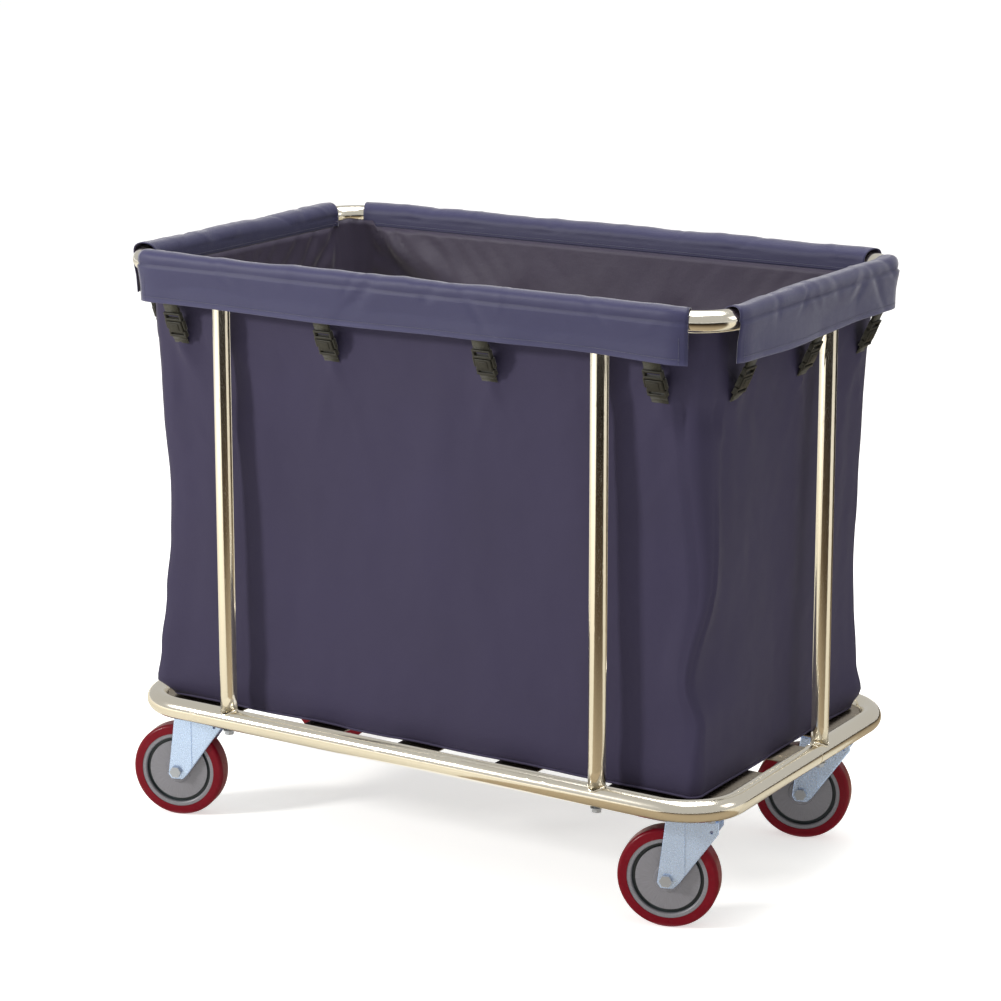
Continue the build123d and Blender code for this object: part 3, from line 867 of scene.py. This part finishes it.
def mouth_folds(side, along, z, half):
    """Folds that run down and away from the mouth's corners, deepest at the back left."""
    down = bag_mouth_z - z
    folds = 0.0
    for end, size in zip((-1, 1), FOLD_SIZES[side]):
        across = half - end * along
        travel = across - 0.85 * down + 0.024 * soft_noise(along * 11, z * 9, side)
        wave = math.sin(2 * math.pi * travel / 0.043) + 0.45 * math.sin(2 * math.pi * travel / 0.0237 + 1.1)
        size *= 0.0048 * math.exp(-across / 0.17) * math.exp(-down / 0.24) * smooth(down / 0.012)
        folds += size * (abs(wave) ** 0.8 * (1 if wave > 0 else -1))
    return folds


def add_wear_and_painted_highlight(piece, rule):
    """Marks how much lighter the cloth is at each point, from 0 to 1: real wear at the hems and the wall's
    foot, and a painted highlight along the top of the flaps' fold.
    """
    layer = piece.data.attributes.new("rubbed", "FLOAT", "POINT")
    layer.data.foreach_set("value", [float(rule(v.co)) for v in piece.data.vertices])


def distances_along(points):
    """How far along the line each of its points lies."""
    marks = [0.0]
    for here, there in zip(points, points[1:]):
        marks.append(marks[-1] + (there - here).length)
    return marks


def bag_walls():
    """The four walls as one sheet, and the line of their foot."""
    spots = column_spots(132, 74, 9)
    rows_count = 74
    mouth_bend = top_bend - top_radius - 0.003
    foot_bend = 0.016
    rows, marks_z = [], []
    for j in range(rows_count + 1):
        share = j / rows_count
        rise = 1 - share
        z = bag_mouth_z + (bag_foot_z + 0.0012 - bag_mouth_z) * share
        marks_z.append(bag_mouth_z - z)
        long_half = bag_half_length + (bag_foot_half_length - bag_half_length) * share
        wide_half = bag_half_width + (bag_foot_half_width - bag_half_width) * share
        bend = mouth_bend + (foot_bend - mouth_bend) * smooth(share * 1.15)
        settle = smooth(rise * 14)
        hang = smooth(share * 12)
        row = []
        for (side, _), (point, outward) in zip(spots, even_plan(long_half, wide_half, bend, spots)):
            along, half = wall_place(side, point)
            offset = wall_offset(side, point, z)
            gathered = 1.4 * mouth_gather(point, z)
            drawn_up = 0.0
            if side % 2 == 0:
                offset += strap_pull(side, along, z) + corner_folds(side, along, z, half)
                gathered += mouth_folds(side, along, z, half)
            else:
                # The corners' mouth is drawn up, because no flap holds it down there
                uneven = 0.85 + 0.3 * soft_noise(point.x * 40, point.y * 40, 1.0)
                drawn_up = 0.011 * smooth(1 - share * 9) * uneven
            # The sewn band above the straps' feet stands a little proud
            offset += 0.0010 * smooth((z - strap_foot_z + 0.004) / 0.004)
            lift = 0.0030 * max(0.0, soft_noise(point.x * 9, point.y * 9, 4.4) + 0.25) * (1 - settle)
            stand = (offset * hang + gathered) * (0.25 + 0.75 * settle)
            shift = ridge_shift(point, rise) * (0.15 + 0.85 * smooth(rise / 0.02))
            raised = 0.10 * shift.length * smooth(1 - rise / 0.2)
            row.append(point + outward * stand + UP * (z + lift + drawn_up) + shift + UP * raised)
        rows.append(row)
    middle_row = rows[len(rows) // 2]
    marks = distances_along([*middle_row, middle_row[0]])
    walls = sheet_piece("bag_wall_cloth", rows, marks, marks_z, BAG, LINING, closed=True)
    add_wear_and_painted_highlight(walls, lambda p: smooth(1 - (p.z - bag_foot_z) / 0.012))
    foot = [p.copy() for p in rows[-1]]
    thicken(walls, wall_thickness, inside_offset=1, outward=-1.0)
    return walls, foot


def floor_rows(foot):
    """Rings of the floor panel, from its edge to its middle. It dips between the deck's strips."""
    strip_spacing, strip_reach, long_strip_reach = 0.166, 0.046, 0.048
    plate_x, plate_y = 0.300, 0.075
    rings = 26
    rows = []
    for j in range(rings + 1):
        share = 1 - j / rings
        row = []
        for point in foot:
            spot = Vector((point.x * share, point.y * share, 0))
            over_strip = max(
                smooth((strip_reach - abs(abs(spot.x) - strip_spacing)) / 0.012),
                smooth((strip_reach - abs(spot.x)) / 0.012),
                smooth((long_strip_reach - abs(spot.y)) / 0.012),
                smooth((abs(spot.x) - plate_x) / 0.016) * smooth((abs(spot.y) - plate_y) / 0.016),
            )
            dip = 0.0045 * (1 - over_strip) * smooth((1 - share) * 12)
            rumple = 0.0016 * (soft_noise(spot.x * 9, spot.y * 9, 6.6) + 0.5)
            height = deck_top + 0.0010 - dip + rumple
            edge = smooth((share - 0.97) / 0.03)
            row.append(Vector((spot.x, spot.y, height + (point.z - height) * edge)))
        rows.append(row)
    return rows


def floor_piece(foot):
    """The floor panel: rings of faces, closed by triangles in the middle."""
    rows = floor_rows(foot)
    columns = len(rows[0])
    points = [p for row in rows[:-1] for p in row] + [sum(rows[-1], Vector()) / columns]
    faces, uv = [], []
    last = len(points) - 1
    for j in range(len(rows) - 1):
        for i in range(columns):
            n = (i + 1) % columns
            if j < len(rows) - 2:
                face = (j * columns + i, (j + 1) * columns + i, (j + 1) * columns + n, j * columns + n)
            else:
                face = (j * columns + i, last, j * columns + n)
            faces.append(face)
            uv += [(points[k].x, points[k].y) for k in face]
    piece = new_piece("bag_floor_cloth", points, faces, LINING, BAG, uv=uv)
    fix_normals(piece)
    add_wear_and_painted_highlight(piece, lambda p: 0.0)
    thicken(piece, floor_thickness, inside_offset=1, outward=-1.0)
    return piece


walls, foot_line = bag_walls()
walls.visible_glossy = False
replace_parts(walls, "bag_front", "bag_back", "bag_left", "bag_right")
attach(walls, "frame")
base_cloth = floor_piece(foot_line)
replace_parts(base_cloth, "bag_floor")
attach(base_cloth, "frame")

welt = ring_along("bag_foot_welt", [[p + Vector((0, 0, 0.0008)) for p in foot_line]], 0.0016, BAG, around=8)
add_wear_and_painted_highlight(welt, lambda p: 0.6)
welt_map = welt.data.uv_layers.new(name="UVMap")
for loop in welt.data.loops:
    v = welt.data.vertices[loop.vertex_index].co
    welt_map.data[loop.index].uv = (v.x + v.y, v.z)
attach(welt, "frame")


# --- Flaps ----------------------------------------------------------------------------------------

# From the rail's centreline to the cloth, and the least that keeps the cloth's inner face off the tube
flap_radius = top_radius + 0.0012
flap_nearest = top_radius + 0.0017
# The flap's three stretches: up inside the bag, over the rail, down outside
flap_inside = top_z - bag_mouth_z
flap_wrap = math.pi * flap_radius
flap_outside = top_z - flap_low_z
flap_length = flap_inside + flap_wrap + flap_outside

# Each side's outward direction, how far out its rail lies, half of the rail's length, and half of the flap's
SIDES = {
    "front": (Vector((0, -1, 0)), half_width, half_length, 0.450),
    "right": (Vector((1, 0, 0)), half_length, half_width, 0.240),
    "back": (Vector((0, 1, 0)), half_width, half_length, 0.450),
    "left": (Vector((-1, 0, 0)), half_length, half_width, 0.240),
}


def rail_place(name, along):
    """The rail's centre and outward direction, this far along a side from its middle; it follows the bends."""
    outward, reach, other, _ = SIDES[name]
    direction = UP.cross(outward)
    straight = other - top_bend
    if abs(along) <= straight:
        return outward * reach + direction * along, outward
    end = math.copysign(1, along)
    turn = (abs(along) - straight) / top_bend
    centre = outward * (reach - top_bend) + direction * straight * end
    facing = outward * math.cos(turn) + direction * end * math.sin(turn)
    return centre + facing * top_bend, facing


def flap_puff(along, travel, seed):
    """How far the cloth puffs up off the rail."""
    broad = soft_noise(along * 7.5, travel * 6, seed)
    fine = soft_noise(along * 24, travel * 20, seed + 2)
    return 0.0012 + 0.0022 * (0.5 + broad) + 0.0012 * fine


def flap_dent(half, along, travel, seed):
    """How deep the creases are: two long slanting ones, and nine short ones over the rail."""
    past = travel - 0.06
    dent = 0.0030 * hump(along + 0.15 * math.cos(seed) + past * 0.9, 0.012)
    dent += 0.0024 * hump(along - 0.21 - 0.1 * math.sin(seed) - past * 0.7, 0.010)
    dent *= smooth((travel - 0.03) / 0.03)
    over = travel - flap_inside
    fade = smooth(over / 0.01) * smooth((0.075 - over) / 0.03)
    creases = 9
    for k in range(creases):
        middle = -half + 2 * half * (k + 0.5) / creases + 0.035 * math.sin(5.1 * k + seed)
        lean = 1.1 * math.sin(2.3 * k + seed)
        ridge = hump(along - middle - lean * (over - 0.03), 0.005 + 0.003 * (k % 3))
        dent += (0.0022 if k % 2 else -0.0014) * ridge * fade
    return dent


def flap_point(name, half, along, travel, seed):
    """The cloth's place: along its side, and travel from the seam inside towards the hem outside."""
    centre, outward = rail_place(name, along)
    puff = flap_puff(along, travel, seed)
    dent = flap_dent(half, along, travel, seed)
    if travel < flap_inside:
        place = centre - outward * max(flap_nearest, flap_radius + 0.4 * puff)
        return Vector((place.x, place.y, bag_mouth_z + travel))
    if travel < flap_inside + flap_wrap:
        angle = math.pi - (travel - flap_inside) / flap_radius
        shoulder = 0.0042 * hump(angle - 0.75, 0.55)
        swell = flap_radius + (puff + shoulder) * math.sin(max(0.0, angle)) ** 0.5 - dent * 0.5
        swell = max(flap_nearest, swell)
        return centre + outward * swell * math.cos(angle) + UP * (top_z + swell * math.sin(angle))
    fall = travel - flap_inside - flap_wrap
    reach_down = fall / flap_outside
    wave = 0.0060 * soft_noise(along * 5.2, seed, 0.4) + 0.0022 * math.sin(along * 21 + seed)
    swing = 0.0030 * smooth(1 - reach_down * 1.6) + wave * reach_down - dent * (1 - reach_down * 0.6)
    drop = 0.0050 * soft_noise(along * 4.3, seed, 8.8) * reach_down
    end_curl = 0.0035 * reach_down * math.exp(-((half - abs(along)) / 0.012))
    stand = flap_radius + 0.0006 + max(-0.0012, swing) - end_curl
    if fall < top_radius:
        stand = max(flap_nearest, stand)
    place = centre + outward * stand
    return Vector((place.x, place.y, top_z - fall + drop))


def flap(name, number):
    """A flap folded over the rail, from the seam inside to its hem outside."""
    half = SIDES[name][3]
    seed = 11.3 * number
    columns, steps = round(2 * half / 0.0048), 46
    marks_u = [-half + 2 * half * i / columns for i in range(columns + 1)]
    marks_v = [flap_length * j / steps for j in range(steps + 1)]
    rows = [[flap_point(name, half, along, travel, seed) for along in marks_u] for travel in marks_v]
    piece = sheet_piece(f"flap_{name}_cloth", rows, marks_u, marks_v, FLAP, LINING)
    # The hem is lightened most, as wear, and the top of the fold a little, as a painted highlight
    lighten_reach = 0.008
    add_wear_and_painted_highlight(
        piece,
        lambda p: 0.7 * smooth(1 - (p.z - flap_low_z) / lighten_reach) + 0.25 * smooth((p.z - top_z - 0.008) / lighten_reach),
    )
    # The outer face looks away from the rail
    highest = max(piece.data.polygons, key=lambda face: face.center.z)
    if highest.normal.z < 0:
        piece.data.flip_normals()
    thicken(piece, flap_thickness, inside_offset=1, outward=0.0)
    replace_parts(piece, f"flap_{name}")
    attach(piece, "frame")
    2 * half
    return rows


flap_rows = {name: flap(name, k + 1) for k, name in enumerate(SIDES)}

# --- Stitching ------------------------------------------------------------------------------------


def stitch_tree():
    """Short threads set along a line."""
    tree = bpy.data.node_groups.new("stitch_row", "GeometryNodeTree")
    tree.is_modifier = True
    face = tree.interface
    face.new_socket("Geometry", in_out="OUTPUT", socket_type="NodeSocketGeometry")
    face.new_socket("Geometry", in_out="INPUT", socket_type="NodeSocketGeometry")
    face.new_socket("Pitch", in_out="INPUT", socket_type="NodeSocketFloat")
    face.new_socket("Thread radius", in_out="INPUT", socket_type="NodeSocketFloat")
    face.new_socket("Stitch length", in_out="INPUT", socket_type="NodeSocketFloat")
    face.new_socket("Material", in_out="INPUT", socket_type="NodeSocketMaterial")
    start, end = tree.nodes.new("NodeGroupInput"), tree.nodes.new("NodeGroupOutput")
    points = tree.nodes.new("GeometryNodeCurveToPoints")
    points.mode = "LENGTH"
    thread = tree.nodes.new("GeometryNodeMeshCylinder")
    thread.inputs["Vertices"].default_value = 6
    put = tree.nodes.new("GeometryNodeInstanceOnPoints")
    real = tree.nodes.new("GeometryNodeRealizeInstances")
    paint = tree.nodes.new("GeometryNodeSetMaterial")
    link = tree.links.new
    link(start.outputs["Geometry"], points.inputs["Curve"])
    link(start.outputs["Pitch"], points.inputs["Length"])
    link(start.outputs["Thread radius"], thread.inputs["Radius"])
    link(start.outputs["Stitch length"], thread.inputs["Depth"])
    link(points.outputs["Points"], put.inputs["Points"])
    link(points.outputs["Rotation"], put.inputs["Rotation"])
    link(thread.outputs["Mesh"], put.inputs["Instance"])
    link(put.outputs["Instances"], real.inputs["Geometry"])
    link(real.outputs["Geometry"], paint.inputs["Geometry"])
    link(start.outputs["Material"], paint.inputs["Material"])
    link(paint.outputs["Geometry"], end.inputs["Geometry"])
    return tree


STITCHES = stitch_tree()


def stitched(name, lines, pitch=0.0042, thread=0.00035, length=0.0031):
    """Rows of stitches along lines of points, as one piece."""
    curve = bpy.data.curves.new(name, "CURVE")
    curve.dimensions = "3D"
    for line in lines:
        spline = curve.splines.new("POLY")
        spline.points.add(len(line) - 1)
        for k, point in enumerate(line):
            spline.points[k].co = (*point, 1)
    holder = bpy.data.objects.new(f"{name}_line", curve)
    bpy.context.scene.collection.objects.link(holder)
    row = holder.modifiers.new("stitches", "NODES")
    row.node_group = STITCHES
    sizes = {"Pitch": pitch, "Thread radius": thread, "Stitch length": length, "Material": THREAD}
    for item in STITCHES.interface.items_tree:
        if item.in_out == "INPUT" and item.name in sizes:
            row[item.identifier] = sizes[item.name]
    made = evaluated_mesh(holder)
    bpy.data.objects.remove(holder)
    piece = bpy.data.objects.new(name, made)
    bpy.context.scene.collection.objects.link(piece)
    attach(piece, "frame")
    return piece


hem_lines = []
for name, rows in flap_rows.items():
    off = SIDES[name][0] * stitch_stand
    hem, seam = rows[-4], rows[2]
    hem_lines.append([p + off for p in hem[2:-2]])
    hem_lines.append([p - off for p in seam[2:-2]])
    for edge in (2, -3):
        hem_lines.append([row[edge] + off for row in rows[-14:-1]])
stitched("flap_stitches", hem_lines)


# --- Straps and buckles ---------------------------------------------------------------------------

buckle_share = 0.56  # how far down its strap a buckle sits


def strap_frame(name, along):
    """Where a strap starts under its flap, where it ends on the wall, and its directions."""
    outward, reach, _, _ = SIDES[name]
    across = Vector((abs(outward.y), abs(outward.x), 0))
    start = outward * (reach + 0.0135) + across * along + UP * strap_head_z
    far = outward * (reach + 0.02) + across * along + UP * strap_foot_z
    found, place, _, _ = walls.ray_cast(far, -outward, distance=0.12)
    if found:
        end = place + outward * 0.0012
    else:
        end = outward * (reach - 0.0192) + across * along + UP * strap_foot_z
    return start, end, across, outward


def ribbon(points, across, width, thickness):
    """Points and faces of a flat tape along a line, with its two sides and edges."""
    made, faces, uv = [], [], []
    travel = distances_along(points)
    for i, point in enumerate(points):
        tangent = (points[min(i + 1, len(points) - 1)] - points[max(i - 1, 0)]).normalized()
        normal = tangent.cross(across).normalized()
        for side, level in ((-1, -1), (1, -1), (1, 1), (-1, 1)):
            made.append(point + across * (side * width / 2) + normal * (level * thickness / 2))
    for i in range(len(points) - 1):
        for k in range(4):
            m = (k + 1) % 4
            faces.append((4 * i + k, 4 * i + m, 4 * i + 4 + m, 4 * i + 4 + k))
            edge = width / 2 if k in (0, 2) else thickness / 2
            uv += [(-edge, travel[i]), (edge, travel[i]), (edge, travel[i + 1]), (-edge, travel[i + 1])]
    last = 4 * (len(points) - 1)
    faces.append((3, 2, 1, 0))
    faces.append((last, last + 1, last + 2, last + 3))
    uv += [(0, 0)] * 8
    return made, faces, uv


def gather(name, bits, *materials):
    """Several separate shapes as one piece."""
    points, faces, uv = [], [], []
    for bit_points, bit_faces, bit_uv in bits:
        first = len(points)
        points += bit_points
        faces += [tuple(first + k for k in face) for face in bit_faces]
        uv += bit_uv
    piece = new_piece(name, points, faces, *materials, uv=uv)
    fix_normals(piece)
    return piece


bpy.context.view_layer.update()
strap_bits = []
for name, along in STRAPS:
    start, end, across, outward = strap_frame(name, along)
    middle = start.lerp(end, buckle_share)
    down = (end - start).normalized()
    normal = across.cross(down)
    if normal.dot(outward) < 0:
        normal = -normal
    upper_turn = middle - down * 0.0185
    lower_turn = middle + down * 0.0175
    # Each tape runs through its buckle half and folds back on itself
    upper_line = [
        start + UP * 0.012,
        start,
        start.lerp(upper_turn, 0.6),
        upper_turn,
        upper_turn - normal * 0.0022,
        start.lerp(upper_turn, 0.5) - normal * 0.003,
    ]
    lower_line = [
        end - outward * 0.0015 - UP * 0.002,
        end + UP * 0.002,
        lower_turn,
        lower_turn + normal * 0.0022,
        end + normal * 0.0016 + UP * 0.004,
    ]
    strap_bits += [ribbon(line, across, strap_width, tape_thickness) for line in (upper_line, lower_line)]
straps = gather("strap_tapes", strap_bits, WEBBING)
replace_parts(straps, "tie_straps")
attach(straps, "frame")


def rounded_block(length_x, length_y, length_z, soft, segments=2):
    """A block with soft edges, as a bmesh."""
    shape = bmesh.new()
    bmesh.ops.create_cube(shape, size=1.0)
    bmesh.ops.scale(shape, vec=(length_x, length_y, length_z), verts=shape.verts)
    bmesh.ops.bevel(shape, geom=shape.edges[:], offset=soft, segments=segments, affect="EDGES", profile=0.6)
    return shape


def buckle_mesh(kind):
    """One buckle half. x is across the webbing, y down it, z away from the wall."""
    whole = bmesh.new()

    def put(size, at, soft=0.0008):
        block = rounded_block(*size, soft)
        bmesh.ops.translate(block, vec=at, verts=block.verts)
        part = bpy.data.meshes.new("part")
        block.to_mesh(part)
        block.free()
        whole.from_mesh(part)
        bpy.data.meshes.remove(part)

    if kind == "socket":
        put((0.0300, 0.0035, 0.0075), (0, 0.0185, 0))
        put((0.0300, 0.0035, 0.0060), (0, 0.0118, 0.0004))
        for side in (-1, 1):
            put((0.0035, 0.0100, 0.0065), (side * 0.0132, 0.0150, 0))
            put((0.0026, 0.0160, 0.0082), (side * 0.0118, 0.0020, 0))
        put((0.0250, 0.0165, 0.0020), (0, 0.0022, 0.0036))
        put((0.0250, 0.0165, 0.0020), (0, 0.0022, -0.0036))
        put((0.0140, 0.0110, 0.0012), (0, 0.0025, 0.0048), 0.0005)
    else:
        put((0.0300, 0.0034, 0.0070), (0, -0.0188, 0))
        put((0.0300, 0.0040, 0.0070), (0, -0.0088, 0))
        for side in (-1, 1):
            put((0.0034, 0.0110, 0.0066), (side * 0.0133, -0.0138, 0))
            put((0.0042, 0.0165, 0.0056), (side * 0.0152, 0.0000, 0), 0.0015)
        put((0.0060, 0.0150, 0.0030), (0, -0.0010, 0))
    return whole


def buckles(name, kind):
    shape = buckle_mesh(kind)
    single = bpy.data.meshes.new(name)
    shape.to_mesh(single)
    shape.free()
    whole = bmesh.new()
    for side, along in STRAPS:
        start, end, across, outward = strap_frame(side, along)
        down = (end - start).normalized()
        normal = across.cross(down)
        turn_across = across
        if normal.dot(outward) < 0:
            normal = -normal
            turn_across = -across
        middle = start.lerp(end, buckle_share)
        turn = Matrix((turn_across, down, normal)).transposed().to_4x4()
        turn.translation = middle
        copy = single.copy()
        copy.transform(turn)
        whole.from_mesh(copy)
        bpy.data.meshes.remove(copy)
    mesh = bpy.data.meshes.new(name)
    whole.to_mesh(mesh)
    whole.free()
    mesh.polygons.foreach_set("use_smooth", [True] * len(mesh.polygons))
    mesh.materials.append(BUCKLE)
    piece = bpy.data.objects.new(name, mesh)
    bpy.context.scene.collection.objects.link(piece)
    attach(piece, "frame")
    return piece


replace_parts(buckles("buckle_socket_shells", "socket"), "buckle_sockets")
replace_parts(buckles("buckle_clip_prongs", "clip"), "buckle_clips")


# --- Studio ---------------------------------------------------------------------------------------


def plane_piece(name, half_x, half_y, at, turn=(0, 0, 0)):
    mesh = bpy.data.meshes.new(name)
    outline = [(-half_x, -half_y, 0), (half_x, -half_y, 0), (half_x, half_y, 0), (-half_x, half_y, 0)]
    mesh.from_pydata(outline, [], [(0, 1, 2, 3)])
    card = bpy.data.objects.new(name, mesh)
    card.location = at
    card.rotation_euler = turn
    bpy.context.scene.collection.objects.link(card)
    card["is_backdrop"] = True
    return card


floor = plane_piece("studio_floor", 30, 30, (0, 0, 0))
floor.data.materials.append(studio_floor())


camera_yaw = math.radians(32.32)


def reflected_floor(name, start, end, near_tone, far_tones):
    """A sector of toned floor that only reflections show, from start to end in degrees to the right of the
    camera's direction: near_tone close by, and far_tones about 2 m and 3.5 m out."""
    near, far, steps = 0.30, 9.0, 16
    points = []
    for k in range(steps + 1):
        angle = camera_yaw - math.pi / 2 + math.radians(start + (end - start) * k / steps)
        way = Vector((math.cos(angle), math.sin(angle), 0))
        points += [way * radius + UP * 0.006 for radius in (near, far)]
    faces = [(2 * k, 2 * k + 1, 2 * k + 3, 2 * k + 2) for k in range(steps)]
    card = new_piece(name, points, faces)
    finish = Finish(f"{name}_paint", (0.02, 0.015, 0.01), 1.0, Specular_IOR_Level=0.0)
    place = finish.place()
    x, y = finish.split(place, "X"), finish.split(place, "Y")
    radius = (x * x + y * y).power(0.5)
    stops = [(0.0, near_tone), (0.22, darker(near_tone, 0.66)), (0.50, far_tones[0]), (1.0, far_tones[1])]
    tones = finish.node("ShaderNodeValToRGB", {"stops": stops}, (radius - near) / 3.2)
    finish.feed("Base Color", tones)
    card.data.materials.append(finish.material)
    card.visible_camera = False
    card.visible_shadow = False
    card.visible_diffuse = False
    card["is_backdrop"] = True


dark_tones = ((0.075, 0.052, 0.030), (0.012, 0.009, 0.007))
light_tones = ((0.75, 0.70, 0.58), (0.95, 0.92, 0.84))
tan, cream = (0.50, 0.41, 0.28), (0.95, 0.90, 0.76)
for name, start, end, near_tone, tones in (
    ("front", -34, 54, tan, dark_tones),
    ("right", 54, 96, cream, light_tones),
    ("back_right", 96, 150, tan, dark_tones),
    ("back", 150, 245, cream, light_tones),
    ("left", 245, 326, cream, light_tones),
):
    reflected_floor(f"reflected_floor_{name}", start, end, near_tone, tones)


def area_light(name, at, target, size, power, colour=(1, 1, 1)):
    lamp = bpy.data.lights.new(name, "AREA")
    lamp.shape = "RECTANGLE"
    lamp.size, lamp.size_y = size
    lamp.energy = power
    lamp.color = colour
    holder = bpy.data.objects.new(name, lamp)
    holder.location = at
    holder.rotation_euler = (Vector(target) - Vector(at)).to_track_quat("-Z", "Y").to_euler()
    bpy.context.scene.collection.objects.link(holder)
    return holder


area_light("key_softbox", (-3.1, -3.8, 2.5), (0, 0, 0.5), (0.7, 0.7), 195, (1.0, 0.985, 0.96))
area_light("top_softbox", (0.2, 0.3, 3.8), (0, 0, 0), (3.2, 2.4), 105)
area_light("right_softbox", (4.2, 1.0, 2.4), (0, 0, 0.5), (1.4, 1.8), 14, (1.0, 0.97, 0.93))

world = bpy.data.worlds.new("studio")
bpy.context.scene.world = world
world.use_nodes = True
surroundings = world.node_tree.nodes["Background"].inputs
surroundings["Color"].default_value = (1.0, 0.99, 0.965, 1)
surroundings["Strength"].default_value = 0.57

camera = bpy.data.cameras.new("camera")
camera.sensor_width = 36.0
camera.lens = 106.55
camera.shift_x = 0.0161
camera.shift_y = -0.1004
camera.clip_end = 100
viewer = bpy.data.objects.new("camera", camera)
viewer.location = (2.2580, -3.6389, 1.384 + base_z)
viewer.rotation_euler = (math.radians(90 - 12.05), math.radians(0.08), camera_yaw)
bpy.context.scene.collection.objects.link(viewer)
bpy.context.scene.camera = viewer
bpy.context.scene.view_settings.view_transform = "Standard"

low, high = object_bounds()
